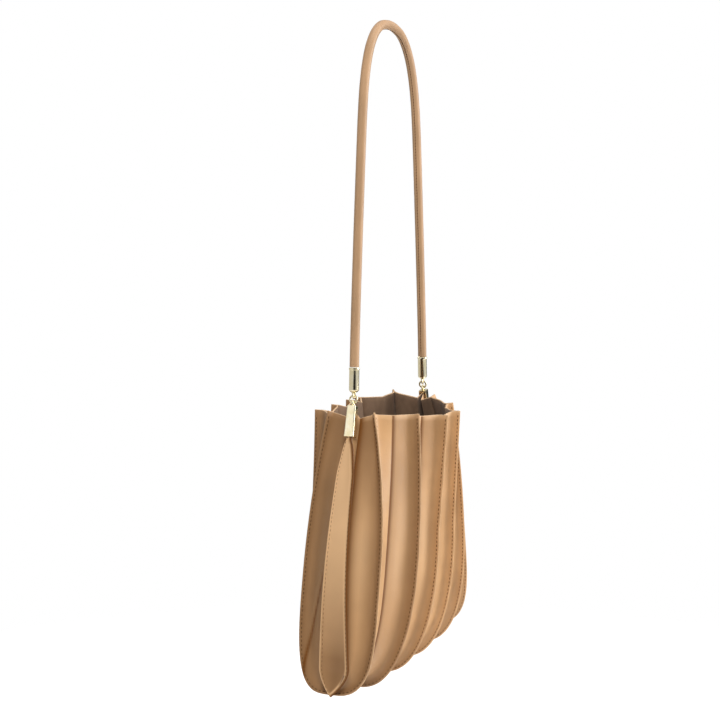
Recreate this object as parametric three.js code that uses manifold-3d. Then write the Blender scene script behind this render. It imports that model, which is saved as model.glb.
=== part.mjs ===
/**
 * Pleated leather shoulder bag, hanging by its rolled strap.
 *
 * Millimetres, +Z up. The front of the bag faces -Y and its ends lie at -X and +X.
 * The origin is where the bag hangs: the underside of the strap at its crest.
 * A "drop" is a distance below the origin, a "half" is a distance from the plane Y = 0.
 */
import * as THREE from 'three';
import { mergeVertices } from 'three/addons/utils/BufferGeometryUtils.js';
import Module from 'manifold-3d';

const wasm = await Module();
wasm.setup();

// Leather of the body.
const LEATHER = 1.4; // thickness of every wall
const SEAM_PULL = 0.2; // each panel stops this far short of the line of a stitched ridge
const MITRE_LIMIT = 3.6; // a sharp fold's inner corner stays within this many thicknesses
const LEVELS = 14; // steps down a fold, from the rim to the foot
const FOOT_CROWDING = 0.55; // how much closer together those steps lie at the foot
const FLANK_SHARES = [0.22, 0.58]; // the lines drawn along a flank, from its ridge to its valley
const FLANK_SAG = 1.7; // a flank hollows inwards this far between its ridge and its valley
const CURVE_STEPS = 60; // points on each of a fold's two stretches before it is stepped off

/**
 * The folds of one end, from the end leaf's edge to the middle. The other end mirrors them.
 * Each is a U from the front rim, under the bottom, to the back rim.
 *
 * rimX, footX   distance from the middle plane X = 0 at the rim and at the foot
 * ease          1 leaves the rim at once on its way to footX, more hangs upright there first
 * flare         1 runs straight to footX, more runs outwards early
 * swell         how early the fold reaches its belly
 * bellyDrop     drop of the belly
 * footDrop      drop of the foot
 * front, back   each half: the drop of its rim, its half there, its largest half below that,
 *               and how square its turn under the bottom is, downwards (flat) and sideways (round)
 */
const FOLDS = [
  { name: 'leaf edge', rimX: 91, footX: 136, ease: 1.42, flare: 3.3, swell: 1,
    bellyDrop: 513, footDrop: 535.5,
    front: { rim: 313.7, half: 5.6, belly: 15.6, flat: 1.6, round: 0.9 },
    back: { rim: 313.7, half: 5.6, belly: 9.6, flat: 1.6, round: 0.9 } },
  { name: 'end valley', rimX: 77, footX: 129.5, ease: 1.2, flare: 3, swell: 1.2,
    bellyDrop: 490, footDrop: 527,
    front: { rim: 323, half: 2.2, belly: 9, flat: 2, round: 0.5 },
    back: { rim: 321, half: 2.2, belly: 9, flat: 2, round: 0.5 } },
  { name: 'outer ridge', rimX: 78, footX: 128.5, ease: 1, flare: 1.35, swell: 2,
    bellyDrop: 442, footDrop: 536,
    front: { rim: 317.8, half: 14.5, belly: 32.8, flat: 4.5, round: 0.4 },
    back: { rim: 314.5, half: 26, belly: 33.2, flat: 3.6, round: 0.25 } },
  { name: 'outer valley', rimX: 63, footX: 106, ease: 1, flare: 1.15, swell: 2,
    bellyDrop: 430, footDrop: 530.5,
    front: { rim: 321, half: 25, belly: 28.5, flat: 2.8, round: 0.4 },
    back: { rim: 319.5, half: 31, belly: 28.5, flat: 2.8, round: 0.4 } },
  { name: 'middle ridge', rimX: 46, footX: 79.5, ease: 1, flare: 1, swell: 2,
    bellyDrop: 425, footDrop: 542.5,
    front: { rim: 320.8, half: 42, belly: 47.7, flat: 2.35, round: 0.4 },
    back: { rim: 318.5, half: 51, belly: 48.5, flat: 2.3, round: 0.4 } },
  { name: 'middle valley', rimX: 34, footX: 53, ease: 1, flare: 1, swell: 2,
    bellyDrop: 405, footDrop: 535.5,
    front: { rim: 323.8, half: 39.5, belly: 38, flat: 2.3, round: 0.4 },
    back: { rim: 321.5, half: 40.5, belly: 38, flat: 2.3, round: 0.4 } },
  { name: 'inner ridge', rimX: 17, footX: 26.5, ease: 1, flare: 1, swell: 1,
    bellyDrop: 420, footDrop: 543.5,
    front: { rim: 324, half: 57.5, belly: 51.5, flat: 2.2, round: 0.4 },
    back: { rim: 317.5, half: 48, belly: 51.5, flat: 2.2, round: 0.4 } },
  { name: 'centre valley', rimX: 0, footX: 0, ease: 1, flare: 1, swell: 2,
    bellyDrop: 405, footDrop: 536,
    front: { rim: 327, half: 46, belly: 42.5, flat: 2.2, round: 0.4 },
    back: { rim: 321.5, half: 41, belly: 42.5, flat: 2.2, round: 0.4 } },
];

// The end leaf is pinched together in its clip, and opens to its full width below it.
const PINCH_HALF = 2.1;
const PINCH_LENGTH = 25; // from the top of the leaf
const PINCH_RUN = 26; // over which it opens

// Clip over the pinched top of an end leaf: a tapered channel, open towards the inside of the bag.
const CLIP_GAP = 0.3; // clearance between the clip and the leather in it
const CLIP_PLATE = 1.0; // thickness of its outer plate
const CLIP_CAP = 2.5; // height of its closed top
const CLIP_SIDE_GAP = 0.8; // clearance beside the pinched leather
const CLIP_HEIGHT = 25.5;
const CLIP_DEPTH = 6.8; // from the outer plate to the open side
const CLIP_TOP_HALF = 3.5;
const CLIP_FOOT_HALF = 4.1;

// Loop on the clip, ring and ferrule eye: three links in a row.
const EYE_RADIUS = 2.0; // the loop's and the eye's, to the middle of the wire
const EYE_WIRE = 0.85;
const RING_RADIUS = 3.1;
const RING_WIRE = 0.75;
const LOOP_SINK = 0.65; // how far the loop is let into the clip's top
const LOOP_INSET = 2.6; // of the loop's middle from the leaf's outer face
const LINK_LEAN = 13; // degrees that the ring leans from upright
const WIRE_SIDES = 8;
const WIRE_STEPS = 20;

// Ferrule: [radius, height] of its turned profile above its foot.
const FERRULE_LEAN = 2.9; // degrees
const FERRULE_HEIGHT = 20;
const FERRULE_RADIUS = 4.1;
const FERRULE_BEAD = 4.4; // radius of the bead round its mouth
const FERRULE_NECK = 1.9; // radius where the eye joins it
const FERRULE_SHOULDER = 2.2; // height of the rounded shoulder over the neck
const FERRULE_BEAD_HEIGHT = 1.8;
const FERRULE_SIDES = 20;
const EYE_DROP = 2.3; // of the eye's middle below the ferrule's foot

// Strap: the middle of the cord from the left ferrule to the crest. The right side mirrors it.
const CORD_RADIUS = 3.85;
const CORD_SIDES = 12;
const CORD_STEPS = 52;
const CORD_ROUTE = [
  { x: 84.8, z: -280.8 },
  { x: 83.7, z: -262 },
  { x: 82.2, z: -242 },
  { x: 80.4, z: -220 },
  { x: 78.4, z: -197 },
  { x: 76.3, z: -173 },
  { x: 74, z: -149 },
  { x: 71.7, z: -125 },
  { x: 69.3, z: -101 },
  { x: 66.5, z: -76 },
  { x: 62.9, z: -54.5 },
  { x: 57.2, z: -35.5 },
  { x: 48.8, z: -19.5 },
  { x: 37.5, z: -7.4 },
  { x: 24.5, z: 0 },
  { x: 12, z: 2.9 },
  { x: 0, z: CORD_RADIUS },
];

// Finishes.
const TAN = { color: 0xb98d5f, roughness: 0.55, metalness: 0 };
const GOLD = { color: 0xd6cba0, roughness: 0.22, metalness: 1 };

/** The distance of a fold from the middle plane at a drop, on a half with its rim at a drop. */
function reach(fold, rim, drop) {
  const down = (drop - rim) / (fold.footDrop - rim);
  return fold.rimX + (fold.footX - fold.rimX) * (1 - (1 - down ** fold.ease) ** fold.flare);
}

/** The points of half a fold, from the rim (first) to the foot (last). */
function halfFold(fold, side) {
  const { rim, half: rimHalf, belly, flat, round } = side < 0 ? fold.front : fold.back;
  const pinched = fold === FOLDS[0];
  const point = (drop, half) => new THREE.Vector3(-reach(fold, rim, drop), side * half, -drop);
  const points = [];
  for (let step = 0; step <= CURVE_STEPS; step += 1) {
    const down = step / CURVE_STEPS;
    const drop = THREE.MathUtils.lerp(rim, fold.bellyDrop, down);
    const half = belly + (rimHalf - belly) * (1 - down) ** fold.swell;
    const opened = Math.min(1, Math.max(0, drop - rim - PINCH_LENGTH) / PINCH_RUN);
    points.push(point(drop, pinched ? THREE.MathUtils.lerp(PINCH_HALF, half, Math.sqrt(opened)) : half));
  }
  for (let step = 1; step < CURVE_STEPS; step += 1) {
    const angle = (Math.PI / 2) * (step / CURVE_STEPS);
    const drop = THREE.MathUtils.lerp(fold.bellyDrop, fold.footDrop, Math.sin(angle) ** (2 / flat));
    points.push(point(drop, belly * Math.cos(angle) ** (2 * round)));
  }
  points.push(point(fold.footDrop, 0));
  return points;
}

/** LEVELS + 1 points along a line, closer together towards its end. */
function stepOff(line) {
  const along = [0];
  for (let i = 1; i < line.length; i += 1) {
    along.push(along[i - 1] + line[i].distanceTo(line[i - 1]));
  }
  const total = along[along.length - 1];
  const points = [];
  let i = 1;
  for (let level = 0; level <= LEVELS; level += 1) {
    const share = level / LEVELS;
    const target = total * ((1 + FOOT_CROWDING) * share - FOOT_CROWDING * share * share);
    while (i < line.length - 1 && along[i] < target) {
      i += 1;
    }
    const part = (target - along[i - 1]) / (along[i] - along[i - 1]);
    points.push(line[i - 1].clone().lerp(line[i], Math.min(1, part)));
  }
  return points;
}

/** One fold as stations from the front rim, under the bottom, to the back rim. */
function foldLine(fold) {
  const front = stepOff(halfFold(fold, -1));
  const back = stepOff(halfFold(fold, 1));
  return [...front, ...back.slice(0, -1).reverse()];
}

const mirrored = (point) => new THREE.Vector3(-point.x, point.y, point.z);

/** The direction square to two edges. */
function square(alongA, alongB) {
  return new THREE.Vector3().crossVectors(alongA, alongB).normalize();
}

/**
 * The outer face of the body: rows[i][j], i across the folds and j along them, and the numbers
 * of the rows that are ridges.
 */
function bodyFace() {
  const nearEnd = FOLDS.map(foldLine);
  const farEnd = nearEnd.slice(0, -1).reverse().map((line) => line.map(mirrored));
  const folds = [...nearEnd, ...farEnd];
  const rows = [];
  const ridges = [];
  folds.forEach((fold, f) => {
    const next = folds[f + 1];
    const onRidge = f % 2 === 0;
    if (onRidge) {
      ridges.push(rows.length);
    }
    rows.push(fold);
    const behindLeaf = f === 0 || f === folds.length - 2;
    if (next && !behindLeaf) {
      const shares = onRidge ? FLANK_SHARES : FLANK_SHARES.map((share) => 1 - share).reverse();
      rows.push(...shares.map((share) => flankRow(fold, next, share)));
    }
  });
  return { rows, ridges };
}

/** A line along the flank between two folds, hollowed inwards. */
function flankRow(fold, next, share) {
  const straight = fold.map((point, j) => point.clone().lerp(next[j], share));
  const sag = FLANK_SAG * 4 * share * (1 - share);
  return straight.map((point, j) => {
    const across = next[j].clone().sub(fold[j]);
    const before = straight[Math.max(0, j - 1)];
    const after = straight[Math.min(straight.length - 1, j + 1)];
    return point.clone().addScaledVector(square(across, after.clone().sub(before)), sag);
  });
}

/** The inward normal of an end leaf at each station of its edge. */
function leafNormals(edge, inward) {
  return edge.map((point, j) => {
    const level = Math.min(j, edge.length - 1 - j, LEVELS - 1);
    const fall = edge[level + 1].clone().sub(edge[level]);
    return new THREE.Vector3(-fall.z * inward, 0, -Math.abs(fall.x)).normalize();
  });
}

/** How far each point of rows moves to reach the inner face of the wall. */
function wallOffsets(rows) {
  const last = rows.length - 1;
  const lastStation = rows[0].length - 1;
  const cellNormal = (i, j) => {
    const station = THREE.MathUtils.clamp(j, 0, lastStation - 1);
    const across = rows[i + 1][station].clone().sub(rows[i][station]);
    across.add(rows[i + 1][station + 1]).sub(rows[i][station + 1]);
    const along = rows[i][station + 1].clone().sub(rows[i][station]);
    along.add(rows[i + 1][station + 1]).sub(rows[i + 1][station]);
    return square(across, along);
  };
  const sideNormal = (i, j) => cellNormal(i, j - 1).add(cellNormal(i, j)).normalize();
  const nearLeaf = leafNormals(rows[0], 1);
  const farLeaf = leafNormals(rows[last], -1);
  return rows.map((row, i) => row.map((point, j) => {
    const before = i === 0 ? nearLeaf[j] : sideNormal(i - 1, j);
    const after = i === last ? farLeaf[j] : sideNormal(i, j);
    const mitre = before.clone().add(after).multiplyScalar(LEATHER / (1 + before.dot(after)));
    return mitre.clampLength(0, LEATHER * MITRE_LIMIT);
  }));
}

/** A point moved towards another by a length. */
function towards(point, other, length) {
  return point.clone().addScaledVector(other.clone().sub(point).normalize(), length);
}

/** A closed wall between an outer and an inner grid of points, both [i][j]. */
function wallGeometry(outer, inner) {
  const across = outer.length;
  const along = outer[0].length;
  const position = [];
  for (const grid of [outer, inner]) {
    for (const row of grid) {
      row.forEach((point) => position.push(point.x, point.y, point.z));
    }
  }
  const index = [];
  const at = (layer, i, j) => (layer * across + i) * along + j;
  const quad = (a, b, c, d) => index.push(a, b, c, a, c, d);
  for (let i = 0; i < across - 1; i += 1) {
    for (let j = 0; j < along - 1; j += 1) {
      quad(at(0, i, j), at(0, i, j + 1), at(0, i + 1, j + 1), at(0, i + 1, j));
      quad(at(1, i, j), at(1, i + 1, j), at(1, i + 1, j + 1), at(1, i, j + 1));
    }
    quad(at(0, i, 0), at(0, i + 1, 0), at(1, i + 1, 0), at(1, i, 0));
    const end = along - 1;
    quad(at(0, i, end), at(1, i, end), at(1, i + 1, end), at(0, i + 1, end));
  }
  for (let j = 0; j < along - 1; j += 1) {
    const far = across - 1;
    quad(at(0, 0, j), at(1, 0, j), at(1, 0, j + 1), at(0, 0, j + 1));
    quad(at(0, far, j), at(0, far, j + 1), at(1, far, j + 1), at(1, far, j));
  }
  return closedGeometry(position, index);
}

/** A geometry with its shared points merged and its collapsed triangles left out. */
function closedGeometry(position, index) {
  const geometry = new THREE.BufferGeometry();
  geometry.setAttribute('position', new THREE.Float32BufferAttribute(position, 3));
  geometry.setIndex(index);
  const merged = mergeVertices(geometry, 1e-4);
  const kept = [];
  const corners = merged.index.array;
  for (let t = 0; t < corners.length; t += 3) {
    const [a, b, c] = corners.slice(t, t + 3);
    if (a !== b && b !== c && c !== a) {
      kept.push(a, b, c);
    }
  }
  merged.setIndex(kept);
  merged.computeVertexNormals();
  return merged;
}

/** A pleat panel: one inward fold between two stitched ridges. */
function pleatPanel(rows, offsets, first, last) {
  const shown = rows.slice(first, last + 1);
  const inside = shown.map((row, i) => row.map((point, j) => point.clone().add(offsets[first + i][j])));
  const end = shown.length - 1;
  const trimmed = (grid) => grid.map((row, i) => {
    if (i === 0) {
      return row.map((point, j) => towards(point, grid[1][j], SEAM_PULL));
    }
    return i === end ? row.map((point, j) => towards(point, grid[end - 1][j], SEAM_PULL)) : row;
  });
  return wallGeometry(trimmed(shown), trimmed(inside));
}

/** An end leaf: the flat strip between the two halves of its edge, pointed at the foot. */
function endLeaf(edge, offsets, inward) {
  const count = edge.length - 1;
  const side = (points, back) => Array.from({ length: LEVELS + 1 }, (_, level) => {
    const point = points[back ? count - level : level];
    const opposite = points[back ? level : count - level];
    return level === LEVELS
      ? towards(point, points[LEVELS - 3], 2 * SEAM_PULL)
      : towards(point, opposite, SEAM_PULL);
  });
  const inside = edge.map((point, j) => point.clone().add(offsets[j]));
  const faces = [edge, inside].map((points) => {
    const [front, back] = [side(points, false), side(points, true)];
    front[LEVELS].y = 0;
    back[LEVELS].copy(front[LEVELS]);
    return inward > 0 ? [back, front] : [front, back];
  });
  return wallGeometry(faces[0], faces[1]);
}

/** A geometry as a solid that can be joined and cut. */
function toSolid(geometry) {
  const bare = geometry.clone();
  bare.deleteAttribute('normal');
  bare.deleteAttribute('uv');
  const merged = mergeVertices(bare, 1e-4);
  const vertProperties = new Float32Array(merged.attributes.position.array);
  const triVerts = new Uint32Array(merged.index.array);
  return new wasm.Manifold(new wasm.Mesh({ numProp: 3, vertProperties, triVerts }));
}

/** A joined or cut solid as a geometry. */
function toGeometry(solid) {
  const mesh = solid.getMesh();
  const geometry = new THREE.BufferGeometry();
  geometry.setAttribute('position', new THREE.BufferAttribute(mesh.vertProperties, 3));
  geometry.setIndex(new THREE.BufferAttribute(mesh.triVerts, 1));
  geometry.computeVertexNormals();
  return geometry;
}

/** A wire ring in the plane X-Z. */
function wireRing(radius, wire) {
  return new THREE.TorusGeometry(radius, wire, WIRE_SIDES, WIRE_STEPS).rotateX(Math.PI / 2);
}

/** A block with a tapered outline in Y-Z, from x0 to x1. */
function taperedBlock(x0, x1, top, foot, topHalf, footHalf) {
  const outline = new THREE.Shape([
    new THREE.Vector2(-footHalf, foot),
    new THREE.Vector2(footHalf, foot),
    new THREE.Vector2(topHalf, top),
    new THREE.Vector2(-topHalf, top),
  ]);
  const block = new THREE.ExtrudeGeometry(outline, { depth: x1 - x0, bevelEnabled: false });
  const turn = new THREE.Matrix4().makeBasis(
    new THREE.Vector3(0, 1, 0), new THREE.Vector3(0, 0, 1), new THREE.Vector3(1, 0, 0),
  );
  return block.applyMatrix4(turn).translate(x0, 0, 0);
}

/**
 * The clip, about the middle of the leaf's outer face at its top edge, with +X into the bag:
 * a tapered channel with its slot cut out, and the loop joined to its top.
 */
function clipGeometry() {
  const top = CLIP_GAP + CLIP_CAP;
  const foot = top - CLIP_HEIGHT;
  const outer = -CLIP_GAP - CLIP_PLATE;
  const slotHalf = PINCH_HALF + CLIP_SIDE_GAP;
  const body = taperedBlock(outer, outer + CLIP_DEPTH, top, foot, CLIP_TOP_HALF, CLIP_FOOT_HALF);
  const slot = taperedBlock(-CLIP_GAP, CLIP_DEPTH, CLIP_GAP, foot - 1, slotHalf, slotHalf);
  const loop = wireRing(EYE_RADIUS, EYE_WIRE).translate(LOOP_INSET, 0, top + loopHeight());
  return toGeometry(toSolid(body).subtract(toSolid(slot)).add(toSolid(loop)));
}

/** Height of the middle of the loop over the clip's top. */
function loopHeight() {
  return EYE_RADIUS + EYE_WIRE - LOOP_SINK;
}

/** The ferrule on its axis, its foot at Z = 0, with the eye joined under it. */
function ferruleGeometry() {
  const bead = FERRULE_HEIGHT - FERRULE_BEAD_HEIGHT;
  const profile = [
    [0, -0.6],
    [FERRULE_NECK, -0.6],
    [FERRULE_NECK, 0.2],
    [(FERRULE_NECK + FERRULE_RADIUS) / 2 + 0.5, FERRULE_SHOULDER * 0.45],
    [FERRULE_RADIUS, FERRULE_SHOULDER],
    [FERRULE_RADIUS, bead],
    [FERRULE_BEAD, bead + 0.3],
    [FERRULE_BEAD, FERRULE_HEIGHT - 0.3],
    [FERRULE_RADIUS, FERRULE_HEIGHT],
    [0, FERRULE_HEIGHT],
  ].map(([radius, height]) => new THREE.Vector2(radius, height));
  const turned = new THREE.LatheGeometry(profile, FERRULE_SIDES).rotateX(Math.PI / 2);
  const eye = wireRing(EYE_RADIUS, EYE_WIRE).translate(0, 0, -EYE_DROP);
  return toGeometry(toSolid(turned).add(toSolid(eye)));
}

/** The rolled cord from ferrule to ferrule. */
function strapGeometry() {
  const left = CORD_ROUTE.map(({ x, z }) => new THREE.Vector3(-x, 0, z));
  const right = CORD_ROUTE.slice(0, -1).reverse().map(({ x, z }) => new THREE.Vector3(x, 0, z));
  const path = new THREE.CatmullRomCurve3([...left, ...right], false, 'centripetal');
  const section = new THREE.Shape(Array.from({ length: CORD_SIDES }, (_, k) => {
    const angle = (2 * Math.PI * k) / CORD_SIDES;
    return new THREE.Vector2(CORD_RADIUS * Math.cos(angle), CORD_RADIUS * Math.sin(angle));
  }));
  return new THREE.ExtrudeGeometry(section, { steps: CORD_STEPS, extrudePath: path, bevelEnabled: false });
}

const bag = new THREE.Group();

function addPiece(parent, name, geometry, finish) {
  const piece = new THREE.Mesh(geometry, new THREE.MeshStandardMaterial(finish));
  piece.name = name;
  parent.add(piece);
  return piece;
}

/** One end's metal, hung from the clip upwards. The right end is the left one turned half round. */
function addHardware(side, turn) {
  const end = new THREE.Group();
  end.rotation.z = turn;
  bag.add(end);
  const edge = FOLDS[0];
  const { rim } = edge.front;
  const clipLean = Math.atan((reach(edge, rim, rim + PINCH_LENGTH) - edge.rimX) / PINCH_LENGTH);
  const clip = addPiece(end, `clip_${side}`, clipGeometry(), GOLD);
  clip.position.set(-edge.rimX, 0, -rim);
  clip.rotation.y = clipLean;
  const loop = new THREE.Vector3(LOOP_INSET, 0, CLIP_GAP + CLIP_CAP + loopHeight());
  loop.applyEuler(clip.rotation).add(clip.position);

  const lean = THREE.MathUtils.degToRad(LINK_LEAN);
  const upLink = new THREE.Vector3(Math.sin(lean), 0, Math.cos(lean));
  const ring = addPiece(end, `ring_${side}`, wireRing(RING_RADIUS, RING_WIRE).rotateZ(Math.PI / 2), GOLD);
  ring.position.copy(loop).addScaledVector(upLink, RING_RADIUS);
  ring.rotation.y = lean;

  const eye = loop.clone().addScaledVector(upLink, 2 * RING_RADIUS);
  const ferrule = addPiece(end, `ferrule_${side}`, ferruleGeometry(), GOLD);
  ferrule.rotation.y = THREE.MathUtils.degToRad(FERRULE_LEAN);
  ferrule.position.set(0, 0, EYE_DROP).applyEuler(ferrule.rotation).add(eye);
}

const { rows, ridges } = bodyFace();
const offsets = wallOffsets(rows);
ridges.slice(0, -1).forEach((first, k) => {
  addPiece(bag, `pleat_panel_${k + 1}`, pleatPanel(rows, offsets, first, ridges[k + 1]), TAN);
});
const lastRow = rows.length - 1;
addPiece(bag, 'end_leaf_left', endLeaf(rows[0], offsets[0], 1), TAN);
addPiece(bag, 'end_leaf_right', endLeaf(rows[lastRow], offsets[lastRow], -1), TAN);
addHardware('left', 0);
addHardware('right', Math.PI);
addPiece(bag, 'strap', strapGeometry(), TAN);

export default bag;
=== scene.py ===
"""Pleated leather shoulder bag: its looks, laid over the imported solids.

Metres, +Z up. The front of the bag faces -Y, its ends lie at -X and +X, and the origin is the
underside of the strap at its crest. The fold table is in millimetres, as a pattern cutter writes
it: a "drop" is a distance below the origin and a "half" a distance from the plane Y = 0.
"""

import logging
import math
from dataclasses import dataclass, replace
from enum import Enum

import bmesh
import bpy
import numpy as np
from mathutils import Matrix, Vector


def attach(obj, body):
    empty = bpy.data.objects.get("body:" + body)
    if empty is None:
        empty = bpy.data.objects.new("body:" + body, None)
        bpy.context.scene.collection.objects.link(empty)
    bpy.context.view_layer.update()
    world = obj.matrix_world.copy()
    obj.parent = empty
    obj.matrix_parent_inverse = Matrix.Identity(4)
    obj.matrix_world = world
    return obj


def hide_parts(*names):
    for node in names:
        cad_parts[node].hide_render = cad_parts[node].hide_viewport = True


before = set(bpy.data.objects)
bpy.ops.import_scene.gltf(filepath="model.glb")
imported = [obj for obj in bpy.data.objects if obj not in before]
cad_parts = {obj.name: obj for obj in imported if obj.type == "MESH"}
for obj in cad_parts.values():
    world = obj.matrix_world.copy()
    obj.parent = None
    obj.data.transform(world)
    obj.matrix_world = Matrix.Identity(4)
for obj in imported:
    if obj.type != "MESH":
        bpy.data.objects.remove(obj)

LOG = logging.getLogger("pleated_bag")
MM = 0.001
TINY = 1e-6
LEAST_LENGTH = 1e-9
WELD = 2e-6
SLIVER = 1e-7

Rgb = tuple[float, float, float]
Point = tuple[float, float, float]
Span = tuple[float, float]
Socket = bpy.types.NodeSocket
Tree = bpy.types.NodeTree
Material = bpy.types.Material
Piece = bpy.types.Object

FULL: Span = (0.0, 1.0)


class Side(Enum):
    """The two ends of the bag."""

    LEFT = "left"
    RIGHT = "right"

    @property
    def turn(self) -> Matrix:
        """The half turn about +Z that carries the left end's metal to this end."""
        return Matrix.Rotation(0.0 if self is Side.LEFT else math.pi, 4, "Z")


class Skin(Enum):
    """Which finish a face of the body takes, by its place in the piece's material list."""

    GRAIN = 0
    SUEDE = 1
    EDGE = 2


class Slot(Enum):
    """The material slots of the record."""

    BODY = "body_leather"
    STRAP = "strap_leather"
    METAL = "pale_gold"


class Lie(Enum):
    """The plane that a wire ring lies in, along the width of the bag or across it."""

    ALONG = "X-Z"
    ACROSS = "Y-Z"


def unit(vectors: np.ndarray) -> np.ndarray:
    """Scales vectors to length 1.

    Args:
        vectors: Any array whose last axis holds X, Y, Z.

    Returns:
        The array of directions.
    """
    return vectors / np.maximum(np.linalg.norm(vectors, axis=-1, keepdims=True), LEAST_LENGTH)


def dot(a: np.ndarray, b: np.ndarray) -> np.ndarray:
    """The dot products along the last axis, which is kept.

    Args:
        a: First vectors.
        b: Second vectors.

    Returns:
        The products, with a last axis of 1.
    """
    return np.sum(a * b, axis=-1, keepdims=True)


def arc_lengths(line: np.ndarray) -> np.ndarray:
    """The distance along a line at each of its points.

    Args:
        line: Points, one a row.

    Returns:
        The distances, from 0.
    """
    return np.concatenate([[0.0], np.cumsum(np.linalg.norm(np.diff(line, axis=0), axis=1))])


def across_lengths(face: np.ndarray) -> np.ndarray:
    """The distance across a face from its first row, at each of its points.

    Args:
        face: Points, [row][station].

    Returns:
        The distances, [row][station].
    """
    steps = np.linalg.norm(np.diff(face, axis=0), axis=2)
    return np.concatenate([np.zeros((1, face.shape[1])), np.cumsum(steps, axis=0)])


def at_lengths(line: np.ndarray, along: np.ndarray, target: np.ndarray) -> np.ndarray:
    """Reads rows of a line at given distances along it.

    Args:
        line: Values, one row for each point of the line.
        along: The distance along the line at each row.
        target: The distances to read.

    Returns:
        One row for each target.
    """
    return np.stack([np.interp(target, along, line[:, k]) for k in range(line.shape[1])], axis=1)


def bell(distance: np.ndarray, run: float, power: int = 2) -> np.ndarray:
    """A mark that is 1 along a line and fades on both sides of it.

    Args:
        distance: Distances from the line.
        run: The distance at which about a third of the mark is left.
        power: 2 for a soft mark, 4 for one with a flat middle and crisper sides.

    Returns:
        Values from 0 to 1.
    """
    return np.exp(-(distance / run) ** power)


def full_turn(count: int) -> np.ndarray:
    """Angles evenly spaced round a circle."""
    return np.linspace(0.0, 2.0 * math.pi, count, endpoint=False)


def spokes(first: np.ndarray, second: np.ndarray, angles: np.ndarray) -> np.ndarray:
    """Directions round each point of a line.

    Args:
        first: The direction at angle 0, one a point.
        second: The direction at a quarter turn.
        angles: The angles.

    Returns:
        Directions, [point][angle].
    """
    return first[:, None] * np.cos(angles)[None, :, None] + second[:, None] * np.sin(angles)[None, :, None]


def shaded(colour: Rgb, share: float) -> Rgb:
    """A colour made darker or lighter by a share."""
    return tuple(channel * share for channel in colour)


def stretched(tree: Tree, value: Socket, results: Span, values: Span) -> bpy.types.Node:
    """Adds a node that stretches a value over a range.

    Args:
        tree: The nodes that it joins.
        value: The value.
        results: The results at the two ends of the range.
        values: The values that give them.

    Returns:
        The node.
    """
    node = tree.nodes.new("ShaderNodeMapRange")
    ends = {"From Min": values[0], "From Max": values[1], "To Min": results[0], "To Max": results[1]}
    for socket, number in ends.items():
        node.inputs[socket].default_value = number
    tree.links.new(value, node.inputs["Value"])
    return node


class Draft:
    """Points, faces, finishes and marks of one piece, gathered before it becomes an object."""

    def __init__(self) -> None:
        """Starts an empty draft."""
        self.points: list[np.ndarray] = []
        self.marks: list[np.ndarray] = []
        self.count: int = 0
        self.faces: list[list[int]] = []
        self.skins: list[int] = []

    def add(self, points: np.ndarray, marks: np.ndarray | None = None) -> np.ndarray:
        """Adds a block of points.

        Args:
            points: Points in metres, the last axis X, Y, Z.
            marks: Three values for each point: how pale it is from wear and painted highlights, and
                how much dark painted shade in creases and broad painted shade it has there.

        Returns:
            The points' numbers, in the block's shape.
        """
        shape = points.shape[:-1]
        size = int(np.prod(shape))
        self.points.append(points.reshape(-1, 3))
        self.marks.append(np.zeros((size, 3)) if marks is None else marks.reshape(-1, 3))
        index = np.arange(self.count, self.count + size).reshape(shape)
        self.count += size
        return index

    def quads(self, index: np.ndarray, skin: Skin = Skin.GRAIN, flip: bool = False,
              round_: bool = False) -> None:
        """Covers a grid of points with quads.

        Args:
            index: Point numbers, [across][along].
            skin: The finish of the faces.
            flip: True turns the faces over.
            round_: True closes the grid from its last column to its first.
        """
        grid = np.concatenate([index, index[:, :1]], axis=1) if round_ else index
        corners = np.stack([grid[:-1, :-1], grid[:-1, 1:], grid[1:, 1:], grid[1:, :-1]], axis=-1)
        corners = corners.reshape(-1, 4)
        if flip:
            corners = corners[:, ::-1]
        self.faces.extend(corners.tolist())
        self.skins.extend([skin.value] * len(corners))

    def cap(self, ring: np.ndarray) -> None:
        """Closes a ring of points with one face.

        Args:
            ring: Point numbers in order.
        """
        self.faces.append(ring.tolist())
        self.skins.append(Skin.GRAIN.value)

    def tubes(self, points: np.ndarray, marks: np.ndarray | None = None) -> None:
        """Adds tubes that are closed at both ends.

        Args:
            points: Points in metres, [tube][along][round].
            marks: The wear of each point.
        """
        for tube in self.add(points, marks):
            self.quads(tube, round_=True)
            self.cap(tube[0])
            self.cap(tube[-1])

    def object(self, name: str, materials: list[Material], sharp: float = 60.0) -> Piece:
        """Makes the object, with doubled points joined and faces turned outwards.

        Args:
            name: Name of the piece.
            materials: Its finishes, in the order of Skin.
            sharp: Edges that turn by more degrees than this stay sharp.

        Returns:
            The new object, linked to the scene.
        """
        mesh = bpy.data.meshes.new(name)
        mesh.from_pydata(np.concatenate(self.points).tolist(), [], self.faces)
        mesh.polygons.foreach_set("material_index", self.skins)
        marks = np.concatenate(self.marks)
        # marks: pale for wear and painted highlights, dark painted shade in creases, broad painted shade
        for column, mark in enumerate(("wear_and_painted_light", "crease_shade", "burnished")):
            layer = mesh.attributes.new(mark, "FLOAT", "POINT")
            layer.data.foreach_set("value", np.ascontiguousarray(marks[:, column], np.float32))
        work = bmesh.new()
        work.from_mesh(mesh)
        bmesh.ops.remove_doubles(work, verts=work.verts, dist=WELD)
        bmesh.ops.dissolve_degenerate(work, edges=work.edges, dist=SLIVER)
        bmesh.ops.recalc_face_normals(work, faces=work.faces)
        work.to_mesh(mesh)
        work.free()
        mesh.polygons.foreach_set("use_smooth", [True] * len(mesh.polygons))
        mesh.set_sharp_from_angle(angle=math.radians(sharp))
        for material in materials:
            mesh.materials.append(material)
        made = bpy.data.objects.new(name, mesh)
        bpy.context.scene.collection.objects.link(made)
        return made


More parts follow.
